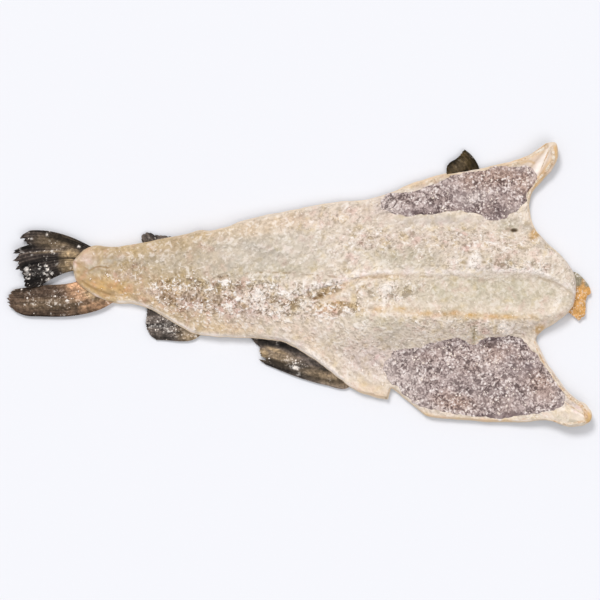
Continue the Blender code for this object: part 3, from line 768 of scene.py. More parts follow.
def upper_faces(piece):
    """A copy of the piece's faces that look up, with how much salt lies at their points."""
    mesh = piece.data
    mesh.calc_loop_triangles()
    up = read(mesh.polygons, "normal", 3)[:, 2] > LOOKS_UP
    kept = up[read(mesh.loop_triangles, "polygon_index")[:, 0]]
    triangles = read(mesh.loop_triangles, "vertices", 3)[kept]
    grains = read(mesh.attributes["grains"].data, "value")[:, 0]
    return make_piece("bed", read(mesh.vertices, "co", 3), triangles, mesh.materials[0], {"grains": grains})


def joined(name, objects, material):
    """One mesh object of that material from several of four-sided faces, which are removed."""
    points, faces, start = [], [], 0
    for source in objects:
        points.append(read(source.data.vertices, "co", 3))
        faces.append(read(source.data.loops, "vertex_index").reshape(-1, 4) + start)
        start += len(points[-1])
        bpy.data.objects.remove(source, do_unlink=True)
    return make_piece(name, np.concatenate(points), np.concatenate(faces), material, smooth=False)


def keep_in_box(mesh):
    """Draws any point that is outside the solid's box back to its face."""
    inside = np.clip(read(mesh.vertices, "co", 3), tuple(CAD_LOW), tuple(CAD_HIGH))
    mesh.vertices.foreach_set("co", inside.ravel())
    mesh.update()


def place(piece, stands_for_solid=True):
    """The piece rides on the fish's one body and may stand for the solid."""
    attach(piece, "root")
    if stands_for_solid:
        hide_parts(SOLID)


# ---------------------------------------------------------------- building node trees

class Nodes:
    """A node tree of a material, a group or a modifier, and the ways to add to it."""

    def __init__(self, tree):
        self.tree = tree

    def add(self, kind, inputs=None, **settings):
        """A new node with its settings; an input is a value or another node's output."""
        made = self.tree.nodes.new(kind)
        for name, value in settings.items():
            setattr(made, name, value)
        for key, value in (inputs or {}).items():
            if isinstance(value, bpy.types.NodeSocket):
                self.tree.links.new(value, made.inputs[key])
            else:
                made.inputs[key].default_value = value
        return made

    def math(self, operation, *values, clamp=False):
        inputs = dict(enumerate(values))
        return self.add("ShaderNodeMath", inputs, operation=operation, use_clamp=clamp).outputs[0]

    def times(self, first, second):
        return self.math("MULTIPLY", first, second)

    def times_plus(self, value, factor, added):
        return self.math("MULTIPLY_ADD", value, factor, added)

    def about_zero(self, value):
        """A value of 0 to 1 spread from -1 to 1."""
        return self.times_plus(value, 2.0, -1.0)

    def ramp(self, value, low, high, to_low=0.0, to_high=1.0):
        inputs = {"Value": value, "From Min": low, "From Max": high, "To Min": to_low, "To Max": to_high}
        return self.add("ShaderNodeMapRange", inputs, interpolation_type="SMOOTHSTEP").outputs[0]

    def noise(self, place_on, scale, **inputs):
        inputs = {"Vector": place_on, "Scale": scale, **inputs}
        return self.add("ShaderNodeTexNoise", inputs).outputs["Fac"]

    def mask(self, name):
        return self.add("ShaderNodeAttribute", attribute_name=name).outputs["Fac"]

    def object_place(self):
        return self.add("ShaderNodeTexCoord").outputs["Object"]

    def mix(self, share, first, second, blend="MIX"):
        settings = {"data_type": "RGBA", "blend_type": blend}
        return self.add("ShaderNodeMix", {0: share, 6: first, 7: second}, **settings).outputs[2]

    def filtered(self, share, colour, tint):
        """The colour, with what the tint lets through of it over that share."""
        return self.mix(share, colour, self.mix(1.0, colour, tint, "MULTIPLY"))

    def brighter(self, colour, amount):
        """The colour scaled by 1 plus the amount."""
        return self.mix(1.0, colour, self.math("ADD", 1.0, amount), "MULTIPLY")

    def salted(self, colour, tone, amount, pit_shade, salt):
        """The colour with painted shade in the pits and whiter grains, white salt with some painted
        highlight, as strongly as the amount says.
        """
        dark = self.math("MULTIPLY", self.ramp(tone, 0.0, -1.0), amount, clamp=True)
        bright = self.math("MULTIPLY", self.ramp(tone, 0.0, 0.72), amount, clamp=True)
        return self.mix(bright, self.filtered(dark, colour, pit_shade), salt)

    def group(self, shared, place_on, **inputs):
        """The output of a shared group at that place."""
        inputs = {label.replace("_", " "): value for label, value in inputs.items()}
        return self.add("ShaderNodeGroup", {"Place": place_on, **inputs}, node_tree=shared).outputs[0]

    def end(self, output):
        """The finished tree, which gives that output."""
        self.tree.links.new(output, self.tree.nodes.new("NodeGroupOutput").inputs[0])
        return self.tree


def new_tree(kind, name, inputs, output, output_kind):
    """A tree with one output; its inputs are given as kinds of socket, or as a number's default."""
    tree = bpy.data.node_groups.new(name, kind)
    for label, given in inputs.items():
        if isinstance(given, str):
            tree.interface.new_socket(label, in_out="INPUT", socket_type=given)
        else:
            socket = tree.interface.new_socket(label, in_out="INPUT", socket_type="NodeSocketFloat")
            socket.default_value = given
    tree.interface.new_socket(output, in_out="OUTPUT", socket_type=output_kind)
    return Nodes(tree), tree.nodes.new("NodeGroupInput").outputs


def new_group(name, output, **inputs):
    """A shader group that turns a place and some numbers into one value."""
    inputs = {label.replace("_", " "): value for label, value in inputs.items()}
    sockets = {"Place": "NodeSocketVector", **inputs}
    return new_tree("ShaderNodeTree", name, sockets, output, "NodeSocketFloat")


def made_once(name):
    """Builds the tree of that name on its first use, and finds it again after that."""
    def share(build):
        return lambda: bpy.data.node_groups.get(name) or build(name)
    return share


@made_once("caked salt")
def crust_group(name):
    """Caked salt: a tone that runs from -1 in a dark pit to 1 on a white grain; where it darkens a colour,
    the dark of the pits is painted shade.
    """
    nodes, given = new_group(name, "Tone", Grain_size=0.0026, Roundness=1.0, Lumpiness=1.0)
    scale = nodes.math("DIVIDE", 1.0, given["Grain size"])
    tone = 0.16
    for coarser, share, curl in ((1.5, 3.6, 1.0), (3.2, nodes.times(given["Lumpiness"], 2.4), 0.6)):
        lump_scale = nodes.math("DIVIDE", scale, coarser)
        lumps = nodes.noise(given["Place"], lump_scale, Detail=1.0, Roughness=0.5, Distortion=curl)
        tone = nodes.times_plus(nodes.math("SUBTRACT", lumps, 0.5), share, tone)
    for finer, share, gap in ((0.9, 0.45, 0.4), (1.7, 0.25, 0.2)):
        cell_scale = nodes.times(scale, finer)
        cells = nodes.add("ShaderNodeTexVoronoi", {"Vector": given["Place"], "Scale": cell_scale}).outputs
        value = nodes.add("ShaderNodeSeparateColor", {0: cells["Color"]}).outputs[0]
        at_gap = nodes.ramp(cells["Distance"], 0.3, 0.75)
        value = nodes.times(nodes.about_zero(value), nodes.math("SUBTRACT", 1.0, at_gap))
        grain = nodes.times(nodes.times_plus(at_gap, -gap / share, value), share)
        tone = nodes.times_plus(grain, given["Roundness"], tone)
    return nodes.end(nodes.math("MINIMUM", nodes.math("MAXIMUM", tone, -1.0), 1.0))


@made_once("uneven drying")
def mottle_group(name):
    """Uneven drying: slow and fine variation about zero."""
    nodes, given = new_group(name, "Variation", Size=0.02, Fine_share=0.5)
    scale = nodes.math("DIVIDE", 1.0, given["Size"])
    slow = nodes.about_zero(nodes.noise(given["Place"], scale, Detail=2.0))
    fine = nodes.about_zero(nodes.noise(given["Place"], nodes.times(scale, 11.0), Detail=3.0))
    return nodes.end(nodes.math("ADD", slow, nodes.times(fine, given["Fine share"])))


@made_once("muscle strands")
def fibre_group(name):
    """Fine strands, as a value about zero."""
    nodes, given = new_group(name, "Strands", Strands_per_metre=900.0, Stretch=0.2)
    stretched = nodes.add("ShaderNodeCombineXYZ", {0: given["Stretch"], 1: 1.0, 2: 1.0}).outputs[0]
    scaled = {0: given["Place"], 1: stretched}
    squeezed = nodes.add("ShaderNodeVectorMath", scaled, operation="MULTIPLY").outputs[0]
    strands = nodes.noise(squeezed, given["Strands per metre"], Detail=2.0, Distortion=0.4)
    return nodes.end(nodes.about_zero(strands))


def caked_salt(nodes, grain_size, roundness=1.0, lumpiness=1.0, place_on=None):
    """The tone of caked salt, at object coordinates unless it is given another place."""
    place_on = place_on or nodes.object_place()
    numbers = {"Grain_size": grain_size, "Roundness": roundness, "Lumpiness": lumpiness}
    return nodes.group(crust_group(), place_on, **numbers)


def uneven_drying(nodes, size, fine_share):
    return nodes.group(mottle_group(), nodes.object_place(), Size=size, Fine_share=fine_share)


def strand_place(nodes, stretch=1.0):
    """Places in the frame of the muscles' strands, drawn out along them."""
    along = nodes.times(nodes.mask("along"), 1 / stretch)
    height = nodes.add("ShaderNodeSeparateXYZ", {0: nodes.object_place()}).outputs["Z"]
    return nodes.add("ShaderNodeCombineXYZ", {0: along, 1: nodes.mask("beside"), 2: height}).outputs[0]


# ---------------------------------------------------------------- materials

def linear(*display):
    """A linear colour from three display values of 0 to 255."""
    value = np.array(display, float) / 255
    value = np.where(value <= 0.04045, value / 12.92, ((value + 0.055) / 1.055) ** 2.4)
    return (*(float(part) for part in value), 1.0)


def new_material(name, roughness, specular=0.4):
    """A material, its nodes and the inputs of its shader."""
    material = bpy.data.materials.new(name)
    material.use_nodes = True
    surface = material.node_tree.nodes["Principled BSDF"].inputs
    surface["Roughness"].default_value = roughness
    surface["Specular IOR Level"].default_value = specular
    return material, Nodes(material.node_tree), surface


def finish(nodes, surface, colour, height, distance):
    """Links a surface to its colour, and to a height that stands for that distance in metres."""
    nodes.tree.links.new(colour, surface["Base Color"])
    made = nodes.add("ShaderNodeBump", {"Height": height, "Distance": distance, "Strength": 1.0})
    nodes.tree.links.new(made.outputs[0], surface["Normal"])


def flesh_material(colours):
    material, nodes, surface = new_material("cured flesh", 0.62, 0.25)
    uneven = uneven_drying(nodes, 0.022, 0.3)
    hue = uneven_drying(nodes, 0.011, 0.0)
    strands = nodes.group(fibre_group(), strand_place(nodes), Strands_per_metre=420.0, Stretch=0.32)
    drawn_out = caked_salt(nodes, 0.0030, 1.0, 0.7, strand_place(nodes, 1.25))
    lumpy, lumpy_share = caked_salt(nodes, 0.0030, 0.9, 0.9), nodes.mask("crusted")
    caked = nodes.times(drawn_out, nodes.math("SUBTRACT", 1.0, lumpy_share))
    caked = nodes.times_plus(lumpy, lumpy_share, caked)
    colour = colours.flesh
    for mask, shade in (
        ("tan", colours.tan), ("grey", colours.grey_back), ("green", colours.trough),
        ("blush", colours.blush), ("lilac", colours.lilac), ("amber", colours.amber),
        ("pale", colours.pale_rim_and_highlight), ("brown", colours.crevice_stain_and_shade), ("hole_shade", colours.hole_shade),
    ):
        colour = nodes.mix(nodes.mask(mask), colour, shade)
    for side, tint in ((0.45, colours.pink_tint), (-0.45, colours.yellow_tint)):
        share = nodes.times(nodes.ramp(hue, 0.0, side), nodes.mask("hue"))
        colour = nodes.filtered(share, colour, tint)
    lit = nodes.times_plus(uneven, 0.10, nodes.times(nodes.mask("strand"), 0.10))
    colour = nodes.brighter(colour, nodes.times_plus(strands, 0.07, lit))
    colour = nodes.salted(colour, caked, nodes.mask("salt"), colours.pit_shade, colours.salt)
    clumps = nodes.times(nodes.mask("clump"), nodes.ramp(caked, -1.0, 0.0))
    colour = nodes.mix(nodes.times(clumps, 0.9), colour, colours.salt)
    height = nodes.times_plus(strands, 0.2, nodes.times(caked, nodes.mask("salt")))
    finish(nodes, surface, colour, height, 0.0012)
    return material


def skin_material(colours):
    material, nodes, surface = new_material("cured skin", 0.48)
    uneven = uneven_drying(nodes, 0.012, 0.9)
    spots, scales = caked_salt(nodes, 0.0040, 1.4), caked_salt(nodes, 0.0009)
    colour = nodes.mix(nodes.mask("belly"), colours.back_skin, colours.belly_skin)
    colour = nodes.mix(nodes.ramp(spots, -0.3, -1.0, 0.0, 0.85), colour, colours.skin_spot)
    colour = nodes.mix(nodes.mask("lateral"), colour, colours.belly_skin)
    colour = nodes.brighter(colour, nodes.times(uneven, 0.28))
    colour = nodes.mix(nodes.mask("lip"), colour, colours.lip)
    finish(nodes, surface, colour, nodes.times_plus(scales, 0.6, uneven), 0.0002)
    return material


def lining_material(colours):
    material, nodes, surface = new_material("belly lining", 0.55)
    uneven = uneven_drying(nodes, 0.014, 0.8)
    caked = caked_salt(nodes, 0.0027, 1.3, 0.6)
    colour = nodes.mix(nodes.mask("dark"), colours.lining, colours.lining_dark)
    colour = nodes.mix(nodes.mask("brown"), colour, colours.lining_brown)
    colour = nodes.brighter(colour, nodes.times(uneven, 0.15))
    colour = nodes.mix(nodes.mask("thin"), colour, colours.lilac)
    colour = nodes.salted(colour, caked, nodes.mask("salt"), colours.lining_pit_shade, colours.lining_salt)
    finish(nodes, surface, colour, nodes.times(caked, nodes.mask("salt")), 0.0007)
    return material


def fin_material(look, membrane, ray, colours):
    """Dried fin: dark membrane, lighter rays, paler at the root, with salt caught on it."""
    material, nodes, surface = new_material(f"{look} fin", 0.6, 0.12)
    uneven = uneven_drying(nodes, 0.007, 0.9)
    caked = caked_salt(nodes, 0.0027, 1.2)
    rays = nodes.times(nodes.mask("ray"), nodes.ramp(uneven, -0.8, 0.6, 0.05, 0.55))
    colour = nodes.mix(rays, membrane, ray)
    colour = nodes.mix(nodes.mask("root"), colour, colours.fin_root)
    colour = nodes.mix(nodes.mask("tan"), colour, colours.fin_tan)
    colour = nodes.brighter(colour, nodes.times(nodes.mask("dark"), -0.75))
    colour = nodes.brighter(colour, nodes.times(nodes.mask("streak"), 0.7))
    # The caked salt's pits get painted shade and its grains a painted highlight; the drying varies at
    # random.
    colour = nodes.brighter(colour, nodes.times_plus(caked, 0.45, nodes.times(uneven, 0.3)))
    grains = nodes.times(nodes.ramp(caked, 0.1, 0.9), nodes.mask("salt"))
    clumps = nodes.times(nodes.ramp(caked, -0.8, 0.1), nodes.mask("clump"))
    grains = nodes.math("MAXIMUM", grains, nodes.times(clumps, 0.9))
    colour = nodes.mix(grains, colour, colours.salt)
    finish(nodes, surface, colour, nodes.times_plus(grains, 1.5, uneven), 0.0003)
    return material


def bone_material(colours):
    material, nodes, surface = new_material("collar bone", 0.45)
    uneven = uneven_drying(nodes, 0.008, 0.5)
    caked = caked_salt(nodes, 0.002)
    colour = nodes.mix(nodes.ramp(uneven, -0.3, 0.45), colours.bone, colours.gristle)
    colour = nodes.salted(colour, caked, 0.45, colours.pit_shade, colours.salt)
    finish(nodes, surface, colour, nodes.math("ADD", uneven, caked), 0.0003)
    return material


def nape_material(colours):
    material, nodes, surface = new_material("nape skin", 0.5)
    uneven = uneven_drying(nodes, 0.009, 0.9)
    caked = caked_salt(nodes, 0.0022, 1.2)
    share = nodes.times_plus(uneven, 0.35, nodes.mask("amber"))
    colour = nodes.mix(nodes.ramp(share, 0.0, 1.0), colours.nape_dark, colours.nape_amber)
    colour = nodes.brighter(colour, nodes.times(uneven, 0.35))
    amount = nodes.times_plus(nodes.mask("salt"), 0.5, 0.4)
    colour = nodes.salted(colour, caked, amount, colours.pit_shade, colours.salt)
    finish(nodes, surface, colour, nodes.math("ADD", uneven, caked), 0.0005)
    return material


def salt_material(colours):
    material, nodes, surface = new_material("curing salt", 0.6, 0.0)
    duller = nodes.ramp(uneven_drying(nodes, 0.004, 1.0), -0.2, 0.8)
    colour = nodes.mix(duller, colours.crystal, colours.crystal_shade)
    nodes.tree.links.new(colour, surface["Base Color"])
    return material


# ---------------------------------------------------------------- geometry node trees

def new_geometry_tree(name, **inputs):
    """A geometry tree whose first input is the geometry; the others are given with their types."""
    inputs = {label.replace("_", " "): f"NodeSocket{kind}" for label, kind in inputs.items()}
    sockets = {"Geometry": "NodeSocketGeometry", **inputs}
    return new_tree("GeometryNodeTree", name, sockets, "Geometry", "NodeSocketGeometry")


def realize(nodes, geometry, material):
    """The tree's end: real geometry of that material."""
    made = nodes.add("GeometryNodeRealizeInstances", {"Geometry": geometry}).outputs[0]
    made = nodes.add("GeometryNodeSetMaterial", {"Geometry": made, "Material": material}).outputs[0]
    return nodes.end(made)


def point_value(nodes, name):
    """A number that each point carries under that name."""
    made = nodes.add("GeometryNodeInputNamedAttribute", {"Name": name}, data_type="FLOAT")
    return made.outputs["Attribute"]


def random_value(nodes, low, high, seed):
    """A random value between the two for each point: a vector between vectors, else a number."""
    if isinstance(low, tuple):
        kind, first_input, output = "FLOAT_VECTOR", 0, 0
    else:
        kind, first_input, output = "FLOAT", 2, 1
    inputs = {first_input: low, first_input + 1: high, "Seed": seed}
    return nodes.add("FunctionNodeRandomValue", inputs, data_type=kind).outputs[output]


@made_once("tapering strands")
def strand_tree(name):
    """Round, tapering strands along a mesh's edges; each point carries its radius."""
    nodes, given = new_geometry_tree(name, Sides="Int", Radius_attribute="String", Material="Material")
    radius = point_value(nodes, given["Radius attribute"])
    curve = nodes.add("GeometryNodeMeshToCurve", {"Mesh": given["Geometry"]}).outputs[0]
    circle = {"Resolution": given["Sides"], "Radius": 1.0}
    profile = nodes.add("GeometryNodeCurvePrimitiveCircle", circle).outputs[0]
    inputs = {"Curve": curve, "Profile Curve": profile, "Scale": radius, "Fill Caps": True}
    strands = nodes.add("GeometryNodeCurveToMesh", inputs).outputs[0]
    strands = nodes.add("GeometryNodeSetShadeSmooth", {"Geometry": strands}).outputs[0]
    return realize(nodes, strands, given["Material"])


@made_once("scattered crystals")
def scatter_tree(name):
    """Loose crystals on a surface, turned and sized at random, as dense as its points say."""
    nodes, given = new_geometry_tree(
        name, Crystals_per_square_metre="Float", Density_attribute="String", Smallest="Float",
        Largest="Float", Seed="Int", Material="Material",
    )
    cover = point_value(nodes, given["Density attribute"])
    density = nodes.times(given["Crystals per square metre"], cover)
    points = nodes.add(
        "GeometryNodeDistributePointsOnFaces",
        {"Mesh": given["Geometry"], "Density": density, "Seed": given["Seed"]}, distribute_method="RANDOM",
    ).outputs["Points"]
    crystal = nodes.add("GeometryNodeMeshCube", {"Size": (1.0, 1.0, 1.0)}).outputs["Mesh"]
    turn = random_value(nodes, (0.0, 0.0, 0.0), (6.28, 6.28, 6.28), 3)
    rotation = nodes.add("FunctionNodeEulerToRotation", {"Euler": turn}).outputs[0]
    size = random_value(nodes, given["Smallest"], given["Largest"], 5)
    stretch = random_value(nodes, (0.6, 0.6, 0.45), (1.2, 1.2, 1.0), 7)
    scale = nodes.add("ShaderNodeVectorMath", {0: stretch, "Scale": size}, operation="SCALE").outputs[0]
    crystals = nodes.add(
        "GeometryNodeInstanceOnPoints",
        {"Points": points, "Instance": crystal, "Rotation": rotation, "Scale": scale},
    ).outputs[0]
    return realize(nodes, crystals, given["Material"])


def grown(name, source, tree, **inputs):
    """The plain mesh object that a geometry tree makes from the source, which is removed."""
    modifier = source.modifiers.new("grow", "NODES")
    modifier.node_group = tree
    sockets = {item.name: item.identifier for item in tree.interface.items_tree if item.in_out == "INPUT"}
    for label, value in inputs.items():
        modifier[sockets[label.replace("_", " ")]] = value
    graph = bpy.context.evaluated_depsgraph_get()
    mesh = bpy.data.meshes.new_from_object(source.evaluated_get(graph))
    source.modifiers.remove(modifier)
    bpy.data.objects.remove(source, do_unlink=True)
    mesh.name = name
    return new_object(name, mesh)


def strands(name, paths, sides, material):
    """Round strands along paths, each given as its points and the masks at them."""
    points = np.concatenate([path for path, _ in paths])
    starts = np.cumsum([0] + [len(path) for path, _ in paths])
    edges = [(i, i + 1) for start, end in zip(starts, starts[1:]) for i in range(start, end - 1)]
    mesh = bpy.data.meshes.new(name + "_paths")
    mesh.from_pydata(points.tolist(), edges, [])
    labels = paths[0][1]
    add_masks(mesh, {label: np.concatenate([masks[label] for _, masks in paths]) for label in labels})
    source = new_object(name + "_paths", mesh)
    return grown(name, source, strand_tree(), Sides=sides, Radius_attribute="radius", Material=material)


# ---------------------------------------------------------------- fins

# Each fin: its sides, cells out and across, heights of root and tips, bow, rays and their radius,
# how far it is frayed between rays, how much is torn off its tips at shares across it, how far
# out its root is pale, how speckled it is, patches of tan, dark and salt, a seed, and its look.
FINS = {
    "upper_tail_lobe": dict(
        sides=UPPER_TAIL_LOBE, cells=(80, 190), heights=(0.0068, 0.0062), bow=0.0030, rays=19,
        ray_radius=0.00042, fray=0.03, tips=(
            (0.0, 0.02), (0.18, 0.0), (0.30, 0.05), (0.42, 0.055), (0.47, 0.0), (0.50, 0.05), (0.55, 0.06),
            (0.60, 0.0), (0.63, 0.08), (0.66, 0.07), (0.70, 0.0), (0.735, 0.01), (0.75, 0.17), (0.80, 0.16),
            (0.82, 0.12), (0.86, 0.13), (0.88, 0.06), (0.92, 0.05), (0.96, 0.06), (1.0, 0.12),
        ),
        pale_root=0.12, specks=0.5, seed=61, look="black",
        tan=(
            (-41.4, 7.2, 3.0, 1.2, -4, 0.4), (-38.9, 4.6, 1.5, 1.3, 0, 1.0),
            (-39.2, 2.8, 1.4, 0.9, -10, 1.0), (-41.5, 5.6, 3.4, 0.2, 4, 0.35),
        ),
        dark=(
            (-45.6, 1.6, 2.6, 2.4, 0, 1.0), (-40.0, 7.6, 3.6, 0.5, -18, 1.0),
            (-37.4, 6.2, 1.4, 0.4, -20, 0.8),
        ),
        salt=(
            (-46.4, 2.6, 0.5, 0.4, 0, 1.0), (-44.2, 3.0, 0.35, 0.6, 0, 1.0),
            (-42.9, 2.8, 0.35, 0.6, 30, 1.0), (-42.1, 1.9, 0.3, 0.6, 40, 0.9),
            (-46.1, 1.1, 0.5, 0.4, 0, 1.0), (-42.7, 0.8, 0.5, 0.3, 0, 0.9),
            (-45.8, 7.7, 0.35, 0.25, 0, 0.9), (-42.9, 8.3, 0.3, 0.25, 0, 0.7),
            (-37.5, 6.4, 0.3, 0.25, 0, 1.0), (-45.6, 5.0, 0.3, 0.25, 0, 0.7),
            (-43.5, 5.6, 3.6, 0.14, 4, 0.5), (-44.9, 1.9, 2.2, 1.2, 0, 0.35),
        ),
    ),
    "lower_tail_lobe": dict(
        sides=LOWER_TAIL_LOBE, cells=(120, 90), heights=(0.0060, 0.0032), bow=0.0020, rays=13,
        ray_radius=0.00036, fray=0.02, tips=(
            (0.0, 0.02), (0.20, 0.01), (0.32, 0.0), (0.38, 0.03), (0.46, 0.0), (0.52, 0.03), (0.60, 0.0),
            (0.66, 0.028), (0.74, 0.004), (0.80, 0.03), (0.88, 0.01), (1.0, 0.03),
        ),
        pale_root=0.50, specks=0.9, seed=62, look="brown",
        tan=((-35.2, -1.8, 1.6, 0.8, -30, 0.9), (-42.0, -3.4, 5.0, 1.0, 0, 0.3)),
        dark=(
            (-44.0, -5.1, 5.0, 0.45, 0, 0.7), (-35.8, -4.7, 2.6, 0.4, 12, 0.7),
            (-45.5, -1.0, 3.0, 0.7, 0, 0.5), (-41.5, -0.9, 3.5, 0.6, 0, 0.5),
        ),
        salt=((-41.5, -2.6, 4.6, 1.4, 0, 0.32),),
    ),
    "third_dorsal_fin": dict(
        sides=THIRD_DORSAL_FIN, cells=(24, 60), heights=(0.0048, 0.0030), bow=0.0004, rays=9,
        ray_radius=0.00032, fray=0.16,
        tips=((0.0, 0.1), (0.2, 0.0), (0.4, 0.0), (0.5, 0.12), (0.7, 0.08), (1.0, 0.1)),
        pale_root=0.1, specks=0.8, seed=63, look="grey",
        tan=(), dark=((-26.8, 6.8, 0.8, 0.8, 0, 0.6),), salt=(),
    ),
    "second_anal_fin": dict(
        sides=SECOND_ANAL_FIN, cells=(80, 80), heights=(0.0034, 0.0022), bow=0.0010, rays=12,
        ray_radius=0.00032, fray=0.02, tips=((0.0, 0.0), (0.3, 0.02), (0.6, 0.0), (1.0, 0.02)),
        pale_root=0.1, specks=0.8, seed=64, look="grey",
        tan=((-17.6, -8.6, 2.4, 1.6, 0, 0.9), (-19.6, -7.2, 1.6, 1.0, 0, 0.3)),
        dark=((-24.6, -5.0, 1.2, 0.6, 0, 0.6), (-23.4, -9.2, 2.6, 0.4, 0, 0.7)),
        salt=((-22.6, -6.8, 2.6, 1.9, 0, 0.5), (-18.4, -8.4, 1.8, 0.8, 0, 0.45)),
    ),
    "first_anal_fin": dict(
        sides=FIRST_ANAL_FIN, cells=(120, 90), heights=(0.0032, 0.0024), bow=0.0012, rays=14,
        ray_radius=0.00036, fray=0.02, tips=(
            (0.0, 0.0), (0.28, 0.0), (0.32, 0.10), (0.38, 0.12), (0.42, 0.06), (0.60, 0.05), (0.70, 0.08),
            (0.80, 0.03), (1.0, 0.0),
        ),
        pale_root=0.06, specks=0.4, seed=65, look="grey",
        tan=(
            (-3.0, -12.7, 3.0, 1.2, -20, 0.5), (5.0, -15.9, 4.4, 1.0, -16, 0.6),
            (-6.0, -12.0, 0.9, 0.9, 0, 1.0), (-3.6, -11.4, 2.0, 0.4, -20, 0.7),
        ),
        dark=(
            (-5.6, -9.9, 2.6, 0.5, -16, 1.0), (-1.6, -10.9, 3.0, 0.6, -22, 1.0),
            (-3.0, -13.9, 3.4, 0.7, -20, 0.8), (3.0, -13.6, 2.6, 0.4, -36, 0.7),
        ),
        salt=((-0.6, -14.2, 0.9, 0.4, -10, 1.0), (-0.8, -13.2, 2.0, 0.8, -20, 0.5)),
    ),
    "pectoral_fin": dict(
        sides=PECTORAL_FIN, cells=(60, 60), heights=(0.0052, 0.0036), bow=0.0020, rays=10,
        ray_radius=0.00030, fray=0.02, tips=((0.0, 0.03), (0.1, 0.0), (0.5, 0.02), (0.8, 0.04), (1.0, 0.1)),
        pale_root=0.1, specks=0.3, seed=66, look="olive",
        tan=((27.2, 20.0, 1.4, 0.8, 40, 0.4),), dark=(), salt=(),
    ),
}
RAY_POINTS = 26  # along each ray
RAY_SIDES = 6
RAY_RISE = 0.0003  # how far the rays stand above the middle of the membrane
BARE_TIP = 0.008  # how far the rays reach past the membrane, as a share of the fin


def fin_plan(sides, out, across):
    """Plan points of a fin at shares out from its root and across it."""
    fine = [smooth_line(side) for side in sides]
    first, last = (points_along(side, out) for side in fine[:2])
    root, tips = (points_along(side, across) for side in fine[2:])
    ends = [line[[0, -1]] for line in fine[2:]]
    out, across = out[..., None], across[..., None]
    ruled = (1 - across) * first + across * last
    lofted = (1 - out) * root + out * tips
    corners = (
        (1 - out) * ((1 - across) * ends[0][0] + across * ends[0][1])
        + out * ((1 - across) * ends[1][0] + across * ends[1][1])
    )
    return ruled + lofted - corners


def bowed(across):
    """0 at both sides of a fin and 1 in its middle."""
    return 1 - (2 * across - 1) ** 2


def fin_height(fin, out, across):
    """The middle of the fin's thickness, with slow waves and a ripple between its rays."""
    flat = fin["heights"][0] + (fin["heights"][1] - fin["heights"][0]) * out
    bow = fin["bow"] * out * bowed(across)
    waves = FIN_WAVES * out * noise(out * 2.2, across * 2.6, 1.0, fin["seed"])
    ripple = FIN_RIPPLE * np.cos(2 * np.pi * across * fin["rays"]) * smoothstep(0.0, 0.3, out)
    return flat + bow + waves + ripple


def tip_reach(fin, across):
    """How far out the fin goes at each share across: its torn outline, frayed between rays."""
    ray = across * fin["rays"]
    between_rays = np.abs(ray - np.round(ray)) * 2
    frayed = 0.4 + 0.6 * scattered(np.round(ray).astype(np.int64), 0, fin["seed"])
    frayed = fin["fray"] * between_rays**1.5 * frayed
    at, cut = zip(*fin["tips"])
    sides = np.minimum(smoothstep(0, 0.04, across), 1 - smoothstep(0.96, 1.0, across))
    return 1 - np.interp(across, at, cut) - np.clip(frayed, 0, 1) * sides


def fin_masks(fin, plan, out, across):
    """How much ray, pale root, tan and salt there is at points of a fin."""
    x, y = plan[..., 0], plan[..., 1]
    seed, pale_root = fin["seed"], fin["pale_root"]
    ray = across * fin["rays"]
    specks = np.clip(noise(x, y, 0.9, seed + 5) - 0.1, 0, 1) * fin["specks"]
    return {
        "ray": bell(ray - np.round(ray), 0.14) * (0.75 + 0.25 * noise(x, y, 1.5, seed + 4)),
        "streak": noise(out * 1.3, ray, 1.5, seed + 8) + 0.5 * noise(out * 2.5, ray, 0.7, seed + 9),
        "root": 1 - smoothstep(pale_root * 0.3, pale_root, out + 0.08 * noise(x, y, 1.0, seed)),
        "tan": patches(x, y, fin["tan"], 0.7),
        "dark": patches(x, y, fin["dark"], 0.7),
        "salt": np.clip(specks + patches(x, y, fin["salt"], 0.7), 0, 1),
        "clump": patches(x, y, fin["salt"], 0.5) ** 3,
        "grains": np.clip(0.2 * specks + 0.6 * patches(x, y, fin["salt"], 0.4) ** 2, 0, 1),
    }


def share_grid(out_cells, across_cells):
    """Even shares out from a fin's root and across it, as two grids."""
    return np.meshgrid(np.linspace(0, 1, out_cells + 1), np.linspace(0, 1, across_cells + 1), indexing="ij")


def fin_membrane(name, fin, material):
    """The thin skin of a fin, rippled between its rays and torn at its tips."""
    share_out, across = share_grid(*fin["cells"])
    out = share_out * tip_reach(fin, across)
    plan = fin_plan(fin["sides"], out, across)
    at_edge = np.minimum(np.minimum(across, 1 - across) * 12, (1 - share_out) * 10)
    half = MEMBRANE_ROOT - (MEMBRANE_ROOT - MEMBRANE_TIP) * out
    half = half * (0.45 + 0.55 * smoothstep(0, 1, at_edge))
    masks = fin_masks(fin, plan, share_out, across)
    return sheet(name, plan, fin_height(fin, out, across), half, masks, material)


def fin_rays(name, fin, material):
    """The rays of a fin: each forks once on its way out and tapers to its tip."""
    paths = []
    share = np.linspace(0.0, 1.0, RAY_POINTS)
    for ray in range(fin["rays"] + 1):
        at = np.clip(ray / fin["rays"], 0.012, 0.988)
        for side in (-1, 1):
            spread = side * 0.2 / fin["rays"] * smoothstep(0.35, 0.9, share)
            across = np.clip(at + spread, 0.006, 0.994)
            out = share * (tip_reach(fin, across) + BARE_TIP)
            plan = fin_plan(fin["sides"], out, across)
            height = fin_height(fin, out, across) + RAY_RISE
            masks = fin_masks(fin, plan, share, across)
            masks["radius"] = fin["ray_radius"] * (1 - 0.72 * share)
            paths.append((np.column_stack([plan * HUNDREDTH, height]), masks))
    return strands(name, paths, RAY_SIDES, material)


# ---------------------------------------------------------------- settings

def paint(name, description, *display):
    """A colour that the user can change, given as display values of 0 to 255."""
    return bpy.props.FloatVectorProperty(
        name=name, description=description, default=linear(*display), subtype="COLOR", size=4, min=0, max=1
    )


